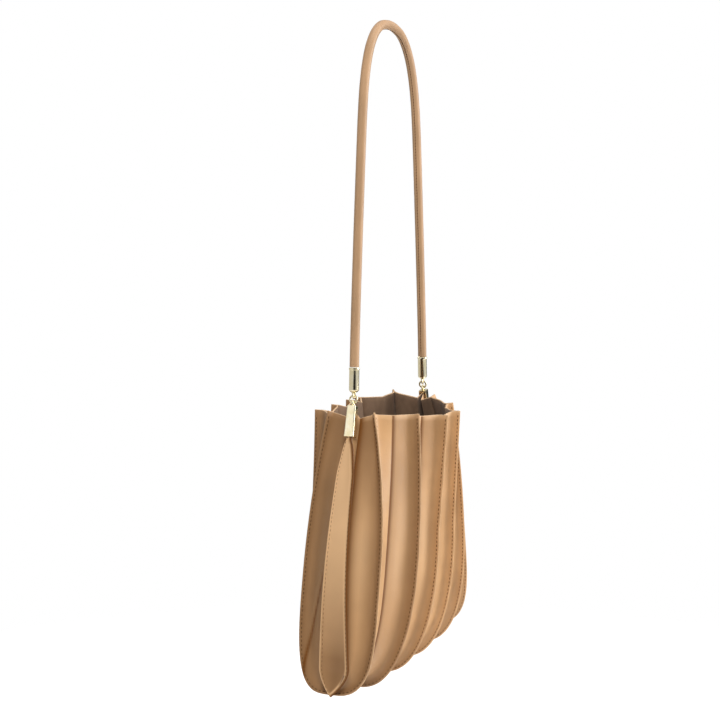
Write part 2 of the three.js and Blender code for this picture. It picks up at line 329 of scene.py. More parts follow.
class Nodes:
    """A short hand for building one material's node tree."""

    def __init__(self, name: str) -> None:
        """Starts a material with its surface shader and its place on the object.

        Args:
            name: Name of the material.
        """
        self.material = bpy.data.materials.new(name)
        self.material.use_nodes = True
        self.tree = self.material.node_tree
        self.shader = self.tree.nodes["Principled BSDF"]
        self.place = self.tree.nodes.new("ShaderNodeTexCoord").outputs["Object"]

    def link(self, source: Socket, target: Socket) -> None:
        """Joins two sockets."""
        self.tree.links.new(source, target)

    def show(self, source: Socket, name: str) -> None:
        """Joins a socket to the named one of the surface shader."""
        self.link(source, self.shader.inputs[name])

    def noise(self, size: float, detail: float = 2.0, stretch: Point | None = None) -> Socket:
        """A cloudy pattern.

        Args:
            size: Size of its clouds, in metres.
            detail: How many finer octaves it has.
            stretch: How much finer it is along X, Y and Z.

        Returns:
            A value from 0 to 1.
        """
        node = self.tree.nodes.new("ShaderNodeTexNoise")
        node.inputs["Scale"].default_value = 1.0 / size
        node.inputs["Detail"].default_value = detail
        place = self.place
        if stretch is not None:
            mapping = self.tree.nodes.new("ShaderNodeMapping")
            mapping.inputs["Scale"].default_value = stretch
            self.link(place, mapping.inputs["Vector"])
            place = mapping.outputs["Vector"]
        self.link(place, node.inputs["Vector"])
        return node.outputs["Fac"]

    def pebbles(self, size: float, smoothness: float = 0.6) -> Socket:
        """The small cells of leather grain.

        Args:
            size: Size of a cell, in metres.
            smoothness: How softly the cells meet.

        Returns:
            The distance to the middle of a cell, about 0 to 1.
        """
        node = self.tree.nodes.new("ShaderNodeTexVoronoi")
        node.feature = "SMOOTH_F1"
        node.inputs["Scale"].default_value = 1.0 / size
        node.inputs["Smoothness"].default_value = smoothness
        self.link(self.place, node.inputs["Vector"])
        return node.outputs["Distance"]

    def mark(self, name: str) -> Socket:
        """A value that the mesh carries at its points.

        Args:
            name: Name of the mark.

        Returns:
            The value.
        """
        node = self.tree.nodes.new("ShaderNodeAttribute")
        node.attribute_name = name
        return node.outputs["Fac"]

    def between(self, value: Socket, results: Span, values: Span = FULL) -> Socket:
        """Stretches a value over a range.

        Args:
            value: The value.
            results: The results at the two ends of the range.
            values: The values that give them.

        Returns:
            The stretched value.
        """
        return stretched(self.tree, value, results, values).outputs["Result"]

    def sum(self, a: Socket, b: Socket, share: float) -> Socket:
        """Adds a share of one value to another.

        Args:
            a: First value.
            b: Second value.
            share: How much of the second is added.

        Returns:
            a + share * b.
        """
        node = self.tree.nodes.new("ShaderNodeMath")
        node.operation = "MULTIPLY_ADD"
        node.inputs[1].default_value = share
        self.link(b, node.inputs[0])
        self.link(a, node.inputs[2])
        return node.outputs["Value"]

    def mix(self, factor: Socket, a: Socket | Rgb, b: Socket | Rgb) -> Socket:
        """Mixes two colours.

        Args:
            factor: 0 gives the first, 1 the second.
            a: First colour.
            b: Second colour.

        Returns:
            The mixed colour.
        """
        node = self.tree.nodes.new("ShaderNodeMix")
        node.data_type = "RGBA"
        self.link(factor, node.inputs[0])
        for socket, colour in ((node.inputs[6], a), (node.inputs[7], b)):
            if isinstance(colour, tuple):
                socket.default_value = (*colour, 1.0)
            else:
                self.link(colour, socket)
        return node.outputs[2]

    def bump(self, height: Socket, depth: float, strength: float = 1.0) -> None:
        """Raises the surface in the light by a height pattern.

        Args:
            height: The pattern, 0 to 1.
            depth: How deep it is, in metres.
            strength: How much of it shows.
        """
        node = self.tree.nodes.new("ShaderNodeBump")
        node.inputs["Distance"].default_value = depth
        node.inputs["Strength"].default_value = strength
        self.link(height, node.inputs["Height"])
        self.show(node.outputs["Normal"], "Normal")

    def fixed(self, **values: float) -> None:
        """Sets plain numbers on the shader's own sockets, with _ for a space in their names."""
        for name, value in values.items():
            self.shader.inputs[name.replace("_", " ")].default_value = value


@dataclass(frozen=True)
class Leather:
    """Smooth dyed leather with a fine grain, pale along its edges from rubbing, with painted highlights, and
    with painted shade in its creases and folds.

    Sizes are in metres. The most_ fields give the most that the broad painted shade and the pale
    mark, for wear and painted highlights, change the dye, mottle the darker and the lighter share of
    it in its clouds. deep is the colour of the dark painted shade in creases. A span is the part of a
    pattern that is stretched to its full range. pore is the size of the pores as a share of the grain's.
    """

    name: str
    colour: Rgb
    deep: Rgb
    wear_and_painted_light: Rgb
    shade_colour: Rgb = (0.162, 0.079, 0.031)
    most_shade: float = 0.8
    most_pale: float = 0.55
    cloud: float = 0.032
    cloud_span: Span = (0.36, 0.64)
    mottle: Span = (0.91, 1.04)
    roughness: float = 0.46
    smoother: float = 0.05
    rougher: float = 0.07
    shine_cloud: float = 0.004
    shine_span: Span = (0.35, 0.65)
    grain: float = 0.0009
    grain_depth: float = 0.00006
    grain_shown: float = 0.7
    pore: float = 0.45
    pore_share: float = 0.6
    specular: float = 0.28
    sheen: float = 0.02
    sheen_roughness: float = 0.4

    def material(self) -> Material:
        """Builds the node tree.

        Returns:
            The material.
        """
        nodes = Nodes(self.name)
        cloud = nodes.between(nodes.noise(self.cloud, detail=3.0), FULL, self.cloud_span)
        dyed = nodes.mix(cloud, *(shaded(self.colour, share) for share in self.mottle))
        # broad painted shade, mixed towards a dark brown
        burnish = nodes.between(nodes.mark("burnished"), (0.0, self.most_shade))
        # pale for wear and for painted highlights
        pale_amount = nodes.between(nodes.mark("wear_and_painted_light"), (0.0, self.most_pale))
        paled = nodes.mix(pale_amount, nodes.mix(burnish, dyed, self.shade_colour), self.wear_and_painted_light)
        # dark painted shade in creases
        nodes.show(nodes.mix(nodes.mark("crease_shade"), paled, self.deep), "Base Color")
        gloss = (self.roughness - self.smoother, self.roughness + self.rougher)
        nodes.show(nodes.between(nodes.noise(self.shine_cloud), gloss, self.shine_span), "Roughness")
        pores = nodes.noise(self.grain * self.pore, detail=3.0)
        cells = nodes.sum(nodes.pebbles(self.grain), pores, self.pore_share)
        nodes.bump(cells, self.grain_depth, self.grain_shown)
        nodes.fixed(Specular_IOR_Level=self.specular, Sheen_Weight=self.sheen,
                    Sheen_Roughness=self.sheen_roughness)
        return nodes.material


@dataclass(frozen=True)
class Suede:
    """The napped flesh side of the leather, inside the bag, brushed up and down. Sizes are in metres."""

    name: str
    colour: Rgb
    brushed: float = 0.018
    brushed_along: Point = (1.0, 1.0, 0.45)
    brushed_span: Span = (0.34, 0.66)
    mottle: Span = (0.72, 1.22)
    nap: float = 0.0011
    nap_depth: float = 0.00012
    nap_shown: float = 0.8
    roughness: Span = (0.84, 0.98)
    specular: float = 0.08
    sheen: float = 0.08
    sheen_roughness: float = 0.55

    def material(self) -> Material:
        """Builds the node tree.

        Returns:
            The material.
        """
        nodes = Nodes(self.name)
        brushed = nodes.noise(self.brushed, detail=4.0, stretch=self.brushed_along)
        shades = (shaded(self.colour, share) for share in self.mottle)
        nodes.show(nodes.mix(nodes.between(brushed, FULL, self.brushed_span), *shades), "Base Color")
        nap = nodes.noise(self.nap, detail=5.0)
        nodes.show(nodes.between(nap, self.roughness), "Roughness")
        nodes.bump(nap, self.nap_depth, self.nap_shown)
        nodes.fixed(Specular_IOR_Level=self.specular, Sheen_Weight=self.sheen,
                    Sheen_Roughness=self.sheen_roughness)
        return nodes.material


@dataclass(frozen=True)
class Thread:
    """Twisted sewing thread. Sizes are in metres."""

    name: str
    colour: Rgb
    lighter: float = 1.5
    ply: float = 0.0005
    ply_along: Point = (1.0, 1.0, 0.5)
    ply_depth: float = 0.00006
    roughness: Span = (0.7, 0.9)
    specular: float = 0.08

    def material(self) -> Material:
        """Builds the node tree.

        Returns:
            The material.
        """
        nodes = Nodes(self.name)
        ply = nodes.noise(self.ply, stretch=self.ply_along)
        nodes.show(nodes.mix(ply, self.colour, shaded(self.colour, self.lighter)), "Base Color")
        nodes.show(nodes.between(ply, self.roughness), "Roughness")
        nodes.bump(ply, self.ply_depth)
        nodes.fixed(Specular_IOR_Level=self.specular)
        return nodes.material


@dataclass(frozen=True)
class Plate:
    """Polished pale gold plating, with the faint haze and hairlines of handling. Sizes are in metres."""

    name: str
    colour: Rgb
    warmth: Rgb = (0.97, 0.92, 0.8)
    haze: float = 0.006
    warm_span: Span = (0.35, 0.65)
    dull_span: Span = (0.3, 0.7)
    roughness: Span = (0.13, 0.23)
    hairline: float = 0.0012
    hairline_along: Point = (1.0, 1.0, 0.06)
    hairline_depth: float = 0.000006
    hairline_shown: float = 0.5

    def material(self) -> Material:
        """Builds the node tree.

        Returns:
            The material.
        """
        nodes = Nodes(self.name)
        haze = nodes.noise(self.haze, detail=3.0)
        warm = tuple(channel * share for channel, share in zip(self.colour, self.warmth))
        nodes.show(nodes.mix(nodes.between(haze, FULL, self.warm_span), self.colour, warm), "Base Color")
        nodes.show(nodes.between(haze, self.roughness, self.dull_span), "Roughness")
        hairlines = nodes.noise(self.hairline, stretch=self.hairline_along)
        nodes.bump(hairlines, self.hairline_depth, self.hairline_shown)
        nodes.fixed(Metallic=1.0)
        return nodes.material


@dataclass(frozen=True)
class Paper:
    """Plain pale floor that fades out into the white round it, from clear to gone metres away."""

    name: str
    colour: Rgb
    clear: float
    gone: float
    glow: float = 0.3
    cloud: float = 0.2
    tint: float = 0.99
    roughness: float = 0.9
    specular: float = 0.1

    def material(self) -> Material:
        """Builds the node tree.

        Returns:
            The material.
        """
        nodes = Nodes(self.name)
        away = nodes.tree.nodes.new("ShaderNodeVectorMath")
        away.operation = "LENGTH"
        nodes.link(nodes.place, away.inputs[0])
        nodes.show(nodes.between(away.outputs["Value"], FULL[::-1], (self.clear, self.gone)), "Alpha")
        tinted = nodes.mix(nodes.noise(self.cloud), self.colour, shaded(self.colour, self.tint))
        nodes.show(tinted, "Base Color")
        nodes.fixed(Roughness=self.roughness, Specular_IOR_Level=self.specular, Emission_Strength=self.glow)
        nodes.shader.inputs["Emission Color"].default_value = (1.0, 1.0, 1.0, 1.0)
        return nodes.material


@dataclass(frozen=True)
class Finishes:
    """Every finish of the bag, made once."""

    leather: Material
    strap: Material
    suede: Material
    edge: Material
    thread: Material
    gold: Material

    @classmethod
    def mixed(cls) -> "Finishes":
        """Builds the materials.

        Returns:
            The set of finishes.
        """
        # each deep colour is that of the dark painted shade in creases
        body = Leather("tan_leather", colour=(0.525, 0.3, 0.138), deep=(0.14, 0.047, 0.006),
                       wear_and_painted_light=(0.75, 0.485, 0.27))
        strap = Leather("strap_leather", colour=(0.44, 0.268, 0.147), deep=(0.2, 0.1, 0.045),
                        wear_and_painted_light=(0.6, 0.37, 0.2), grain=0.0007)
        edge = Leather("cut_edge", colour=(0.58, 0.38, 0.22), deep=(0.3, 0.17, 0.08),
                       wear_and_painted_light=(0.66, 0.45, 0.27), roughness=0.55, grain=0.0006, grain_depth=0.00009)
        return cls(
            leather=body.material(),
            strap=strap.material(),
            suede=Suede("suede_inside", colour=(0.215, 0.135, 0.085)).material(),
            edge=edge.material(),
            thread=Thread("brown_thread", colour=(0.09, 0.044, 0.019)).material(),
            gold=Plate("pale_gold_plate", colour=(0.83, 0.76, 0.56)).material(),
        )

    @property
    def body(self) -> list[Material]:
        """The finishes of a body piece, in the order of Skin."""
        return [self.leather, self.suede, self.edge]


@dataclass(frozen=True)
class SoftBox:
    """One soft light that faces the bag, in metres and watts.

    One without glow lights no matt surface, and one without shine shows in no reflection.
    """

    name: str
    place: Point
    width: float
    height: float
    watts: float
    glow: bool = True
    shine: bool = True


@dataclass(frozen=True)
class DarkSide:
    """A dark side of the room: its direction, and the cosines between which it darkens."""

    facing: Point
    darkens: Span


@dataclass
class Studio:
    """The camera at the photograph's place, soft lights and a pale floor."""

    eye: Point = (-1.1276, -0.4104, -0.2110)
    pitch: float = 86.73
    yaw: float = -68.75
    lens: float = 70.0
    sensor: float = 36.0
    nearest: float = 0.01
    middle: Point = (0.0, 0.0, -0.4)
    boxes: tuple[SoftBox, ...] = (
        SoftBox("key_box", (0.85, -1.45, 0.15), width=0.9, height=1.5, watts=36.0),
        SoftBox("front_box", (-1.45, -0.55, 0.75), width=0.6, height=0.9, watts=28.0, shine=False),
        SoftBox("top_box", (0.0, -0.2, 1.0), width=1.0, height=0.8, watts=5.0),
        SoftBox("left_card", (-1.2, 0.55, 0.4), width=0.9, height=0.9, watts=1.2, glow=False),
        SoftBox("back_box", (1.3, 1.1, 0.3), width=0.9, height=1.2, watts=26.0, shine=False),
    )
    ambient: float = 0.2
    pale: float = 0.85
    gloom: float = 0.03
    dark_sides: tuple[DarkSide, ...] = (
        DarkSide(facing=(-0.85, -0.52, 0.0), darkens=(0.8, 0.9)),
        DarkSide(facing=(0.93, -0.36, 0.0), darkens=(0.93, 0.97)),
    )
    floor_drop: float = 0.7
    floor_sides: int = 96
    floor_rings: tuple[float, ...] = (0.02, 0.2, 0.45, 0.8, 1.3)

    def place_camera(self) -> Piece:
        """Sets up the camera.

        Returns:
            The camera.
        """
        data = bpy.data.cameras.new("photo_camera")
        data.lens = self.lens
        data.sensor_width = self.sensor
        data.sensor_fit = "HORIZONTAL"
        data.clip_start = self.nearest
        camera = bpy.data.objects.new("photo_camera", data)
        camera.location = self.eye
        camera.rotation_euler = (math.radians(self.pitch), 0.0, math.radians(self.yaw))
        bpy.context.scene.collection.objects.link(camera)
        bpy.context.scene.camera = camera
        return camera

    def hang(self, box: SoftBox) -> None:
        """Hangs one soft box so that it faces the middle of the bag.

        Args:
            box: The soft box.
        """
        data = bpy.data.lights.new(box.name, "AREA")
        data.shape = "RECTANGLE"
        data.size = box.width
        data.size_y = box.height
        data.energy = box.watts
        lamp = bpy.data.objects.new(box.name, data)
        lamp.location = box.place
        lamp.visible_diffuse = box.glow
        lamp.visible_glossy = box.shine
        facing = Vector(self.middle) - Vector(box.place)
        lamp.rotation_euler = facing.to_track_quat("-Z", "Y").to_euler()
        bpy.context.scene.collection.objects.link(lamp)

    def light(self) -> None:
        """Hangs the lights and sets the white surroundings."""
        for box in self.boxes:
            self.hang(box)
        world = bpy.data.worlds.new("white_room")
        bpy.context.scene.world = world
        world.use_nodes = True
        tree = world.node_tree
        shown = tree.nodes["Background"]
        shown.inputs["Strength"].default_value = 1.0
        shown.inputs["Color"].default_value = (1.0, 1.0, 1.0, 1.0)
        lit = tree.nodes.new("ShaderNodeBackground")
        lit.inputs["Strength"].default_value = self.ambient
        path = tree.nodes.new("ShaderNodeLightPath")
        surroundings = self.choice(tree, path.outputs["Is Glossy Ray"], lit, self.mirrored(tree))
        seen = self.choice(tree, path.outputs["Is Camera Ray"], surroundings, shown)
        tree.links.new(seen.outputs[0], tree.nodes["World Output"].inputs["Surface"])
        bpy.context.scene.view_settings.view_transform = "Standard"

    @staticmethod
    def choice(tree: Tree, which: Socket, no: bpy.types.Node, yes: bpy.types.Node) -> bpy.types.Node:
        """Chooses between two surroundings.

        Args:
            tree: The world's nodes.
            which: 0 gives the first, 1 the second.
            no: First surroundings.
            yes: Second surroundings.

        Returns:
            The node that chooses.
        """
        node = tree.nodes.new("ShaderNodeMixShader")
        tree.links.new(which, node.inputs[0])
        tree.links.new(no.outputs[0], node.inputs[1])
        tree.links.new(yes.outputs[0], node.inputs[2])
        return node

    def mirrored(self, tree: Tree) -> bpy.types.Node:
        """The surroundings that polished surfaces show: a pale room with two dark sides.

        Args:
            tree: The world's nodes.

        Returns:
            The surroundings.
        """
        aim = tree.nodes.new("ShaderNodeTexCoord").outputs["Generated"]
        room = tree.nodes.new("ShaderNodeBackground")
        level = None
        for side in self.dark_sides:
            nearly = tree.nodes.new("ShaderNodeVectorMath")
            nearly.operation = "DOT_PRODUCT"
            nearly.inputs[1].default_value = side.facing
            tree.links.new(aim, nearly.inputs[0])
            shade = stretched(tree, nearly.outputs["Value"], (self.pale, self.gloom), side.darkens)
            if level is not None:
                tree.links.new(level, shade.inputs["To Min"])
            level = shade.outputs["Result"]
        tree.links.new(level, room.inputs["Strength"])
        return room

    def lay_floor(self) -> Piece:
        """Lays the round floor under the hanging bag.

        Returns:
            The floor, marked as no part of the bag.
        """
        draft = Draft()
        angles = full_turn(self.floor_sides)
        rings = np.array(self.floor_rings)
        grid = np.stack([np.outer(rings, np.cos(angles)), np.outer(rings, np.sin(angles)),
                         np.zeros((len(rings), len(angles)))], axis=-1)
        index = draft.add(grid)
        draft.quads(index, round_=True)
        draft.cap(index[0])
        paper = Paper("pale_paper", colour=(0.94, 0.935, 0.93), clear=0.25, gone=0.9)
        floor = draft.object("pale_floor", [paper.material()])
        floor.location = (0.0, 0.0, -self.floor_drop)
        return floor


@dataclass(frozen=True)
class Pinch:
    """The end leaf pinched together in its clip, in millimetres."""

    half: float = 2.1
    length: float = 25.0
    run: float = 26.0


@dataclass(frozen=True)
class Fall:
    """Half of a fold, at the front or at the back, in millimetres.

    The rim has a drop and a half, the distance from the plane Y = 0. The belly is the largest half
    below it. flat and round say how square the turn under the bottom is, downwards and sideways.
    """

    rim: float
    half: float
    belly: float
    flat: float
    round: float


@dataclass(frozen=True)
class Fold:
    """One fold of the bag's left end, a U from the front rim, under the bottom, to the back rim.

    rim_x and foot_x are distances from the middle at the rim and at the foot. An ease above 1 hangs
    upright below the rim first, a flare above 1 runs outwards early, and a swell above 1 fills out
    early. The fold reaches its belly at belly_drop and turns under the bottom at foot_drop.
    """

    name: str
    rim_x: float
    foot_x: float
    ease: float
    flare: float
    swell: float
    belly_drop: float
    foot_drop: float
    front: Fall
    back: Fall

    def reach(self, rim: float, drop: np.ndarray) -> np.ndarray:
        """How far the fold is from the middle.

        Args:
            rim: The drop of its rim.
            drop: The drops asked for.

        Returns:
            The distances from X = 0.
        """
        down = np.clip((drop - rim) / (self.foot_drop - rim), 0.0, 1.0)
        return self.rim_x + (self.foot_x - self.rim_x) * (1.0 - (1.0 - down ** self.ease) ** self.flare)

    def half_line(self, front: bool, levels: int, pinch: Pinch | None, sink: float) -> np.ndarray:
        """Steps off half the fold, from the rim to the foot, with the steps closer towards the foot.

        Args:
            front: True for the front half.
            levels: Number of steps.
            pinch: How the top is pinched together, on the end leaf's edge.
            sink: How much lower the rim hangs than its own drop.

        Returns:
            levels + 1 points in millimetres.
        """
        steps = 240
        crowding = 0.55
        fall = self.front if front else self.back
        rim = fall.rim + sink
        down = np.linspace(0.0, 1.0, steps + 1)
        upper_drop = rim + (self.belly_drop - rim) * down
        upper_half = fall.belly + (fall.half - fall.belly) * (1.0 - down) ** self.swell
        if pinch is not None:
            opened = np.clip((upper_drop - rim - pinch.length) / pinch.run, 0.0, 1.0)
            upper_half = pinch.half + (upper_half - pinch.half) * np.sqrt(opened)
        angle = np.linspace(0.0, math.pi / 2.0, steps + 1)[1:]
        lower_drop = self.belly_drop + (self.foot_drop - self.belly_drop) * np.sin(angle) ** (2.0 / fall.flat)
        lower_half = fall.belly * np.clip(np.cos(angle), 0.0, 1.0) ** (2.0 * fall.round)
        lower_half[-1] = 0.0
        drop = np.concatenate([upper_drop, lower_drop])
        half = np.concatenate([upper_half, lower_half]) * (-1.0 if front else 1.0)
        line = np.stack([-self.reach(rim, drop), half, -drop], axis=1)
        along = arc_lengths(line)
        part = np.arange(levels + 1) / levels
        return at_lengths(line, along, along[-1] * ((1.0 + crowding) * part - crowding * part * part))

    def line(self, levels: int, pinch: Pinch | None, sinks: Span) -> np.ndarray:
        """The whole fold.

        Args:
            levels: Number of steps on each half.
            pinch: How the top is pinched together, on the end leaf's edge.
            sinks: How much lower the front and the back rim hang than their own drops.

        Returns:
            2 * levels + 1 points in millimetres, from the front rim to the back rim.
        """
        back = self.half_line(False, levels, pinch, sinks[1])
        return np.concatenate([self.half_line(True, levels, pinch, sinks[0]), back[-2::-1]])


FOLDS = (
    Fold("leaf edge", 91, 136, 1.42, 3.3, 1, 513, 535.5,
         Fall(313.7, 5.6, 15.6, 1.6, 0.9), Fall(313.7, 5.6, 9.6, 1.6, 0.9)),
    Fold("end valley", 77, 129.5, 1.2, 3, 1.2, 490, 527,
         Fall(323, 2.2, 9, 2, 0.5), Fall(321, 2.2, 9, 2, 0.5)),
    Fold("outer ridge", 78, 128.5, 1, 1.35, 2, 442, 536,
         Fall(317.8, 14.5, 32.8, 4.5, 0.4), Fall(314.5, 26, 33.2, 3.6, 0.25)),
    Fold("outer valley", 63, 106, 1, 1.15, 2, 430, 530.5,
         Fall(321, 25, 28.5, 2.8, 0.4), Fall(319.5, 31, 28.5, 2.8, 0.4)),
    Fold("middle ridge", 46, 79.5, 1, 1, 2, 425, 542.5,
         Fall(320.8, 42, 47.7, 2.35, 0.4), Fall(318.5, 51, 48.5, 2.3, 0.4)),
    Fold("middle valley", 34, 53, 1, 1, 2, 405, 535.5,
         Fall(323.8, 39.5, 38, 2.3, 0.4), Fall(321.5, 40.5, 38, 2.3, 0.4)),
    Fold("inner ridge", 17, 26.5, 1, 1, 1, 420, 543.5,
         Fall(324, 57.5, 51.5, 2.2, 0.4), Fall(317.5, 48, 51.5, 2.2, 0.4)),
    Fold("centre valley", 0, 0, 1, 1, 2, 405, 536,
         Fall(327, 46, 42.5, 2.2, 0.4), Fall(321.5, 41, 42.5, 2.2, 0.4)),
)


@dataclass
class Flank:
    """One side of a pleat at every station: outer and inner points, marks and the thread's line."""

    outer: np.ndarray
    inner: np.ndarray
    marks: np.ndarray
    seam: np.ndarray
    outward: np.ndarray
    stitch_wire: float


@dataclass(frozen=True)
class Tuck:
    """A crease pressed slantwise into the back of a flank, in millimetres.

    It runs from ridge_drop on the ridge up to valley_drop in the valley. width is that of the dark
    line of painted shade along it, dent_width and dent_depth those of the dent about it.
    """

    ridge_drop: float = 524.0
    valley_drop: float = 424.0
    width: float = 1.4
    dent_width: float = 2.8
    dent_depth: float = 1.4


@dataclass(frozen=True)
class Wave:
    """A slight wave along a flank: its turn a millimetre, its share of the ripple and its shift a flank."""

    turn: float
    share: float
    shift: float


@dataclass(frozen=True)
class Drape:
    """How the leather of a flank hangs between its ridge and its valley, in millimetres.

    root_pull and valley_pull are shares of the flank's width: a larger root_pull keeps it steep for
    longer beside its ridge, and a larger valley_pull lets it run flat into its valley. A smooth one
    has no crease there. mouth says how much painted shade it has at the rim and root how much painted
    shadow beside its valley, each with how far from them it reaches, and it may have painted shade
    all over too. crease is the width of the painted shade in its valley, and shade how dark the
    painted shade beside its ridge is. It is painted pale halfway down as a painted highlight. seam
    says how far down the pinched ridge its stitches run, and tuck what crease crosses it.
    """

    leather: float = 1.4
    root_pull: float = 0.26
    valley_pull: float = 0.5
    sag: float = 0.7
    ripple: float = 0.22
    smooth: bool = False
    # painted shade at the rim
    mouth: Span = (0.5, 55.0)
    # painted shadow beside the valley
    root: Span = (0.9, 4.5)
    # width of the painted shade in the valley
    crease: float = 2.1
    # painted highlight halfway down
    painted_highlight: float = 0.6
    # painted shade all over the flank
    shade_all_over: float = 0.0
    # dark painted shade beside the ridge
    shade: float = 0.0
    seam: float = 0.7
    stitch_wire: float = 0.36
    tuck: Tuck | None = None


@dataclass(frozen=True)
class Wear:
    """Where rubbing makes the flanks pale, and where painted light and shade lie on them, in millimetres.

    Rubbing makes the ridges pale over ridge_rub, more and less by turns, and the rims over rim_rub. A
    flank that faces an end has a painted highlight round a drop and a share of the way from ridge to
    valley. It has painted shade beside its ridge, fully from end_reach outwards and by end_least in
    the middle, and a flank that faces the middle by away. The back has painted shade by back, and is
    made less pale, from back_reach on.
    """

    ridge_rub: float = 1.1
    rub_least: float = 0.8
    rub_varies: float = 0.2
    rub_turn: float = 0.21
    rim_rub: float = 1.6
    rim_share: float = 0.7
    # where the painted highlight lies
    highlight_drop: float = 425.0
    highlight_run: float = 42.0
    highlight_share: float = 0.58
    highlight_spread: float = 0.22
    # widths of the painted shade in valleys and beside ridges
    away_crease: float = 0.6
    ridge_shade: float = 3.0
    # painted shade beside the ridges
    ridge_shade_spread: float = 14.5
    end_reach: float = 50.0
    end_least: float = 0.35
    away: float = 0.15
    # painted shade over the back
    back_reach: float = 14.0
    back: float = 0.86
    back_less_pale: float = 0.75


@dataclass(frozen=True)
class LeafForm:
    """The hollow and edges of an end leaf, and its painted light and shade, in millimetres.

    The hollow deepens from hollow_top to hollow_low between two shares of the way down, and needs
    the leaf to be open_width wide. A painted shadow runs as a dark line along the stitched front
    edge, and painted highlights as pale lines edge_inset from it and along the back edge. The leaf
    has painted shade under its clip, mostly in front, and at its foot, by foot all over and by
    foot_middle more about the middle. Above that a painted highlight makes it pale.
    """

    hollow_top: float = 0.3
    hollow_low: float = 3.2
    hollow_from: float = 0.3
    hollow_over: float = 0.45
    open_width: float = 24.0
    open_power: float = 1.5
    # width of the painted shadow along the front edge
    sewn: float = 1.9
    # width and place of the painted highlight lines
    edge: float = 0.9
    edge_inset: float = 3.1
    # painted shade under the clip
    clip: float = 0.75
    clip_run: float = 38.0
    clip_spread: float = 0.4
    # painted shade at the foot
    foot: float = 0.75
    foot_middle: float = 0.25
    foot_share: float = 0.45
    foot_spread: float = 0.3


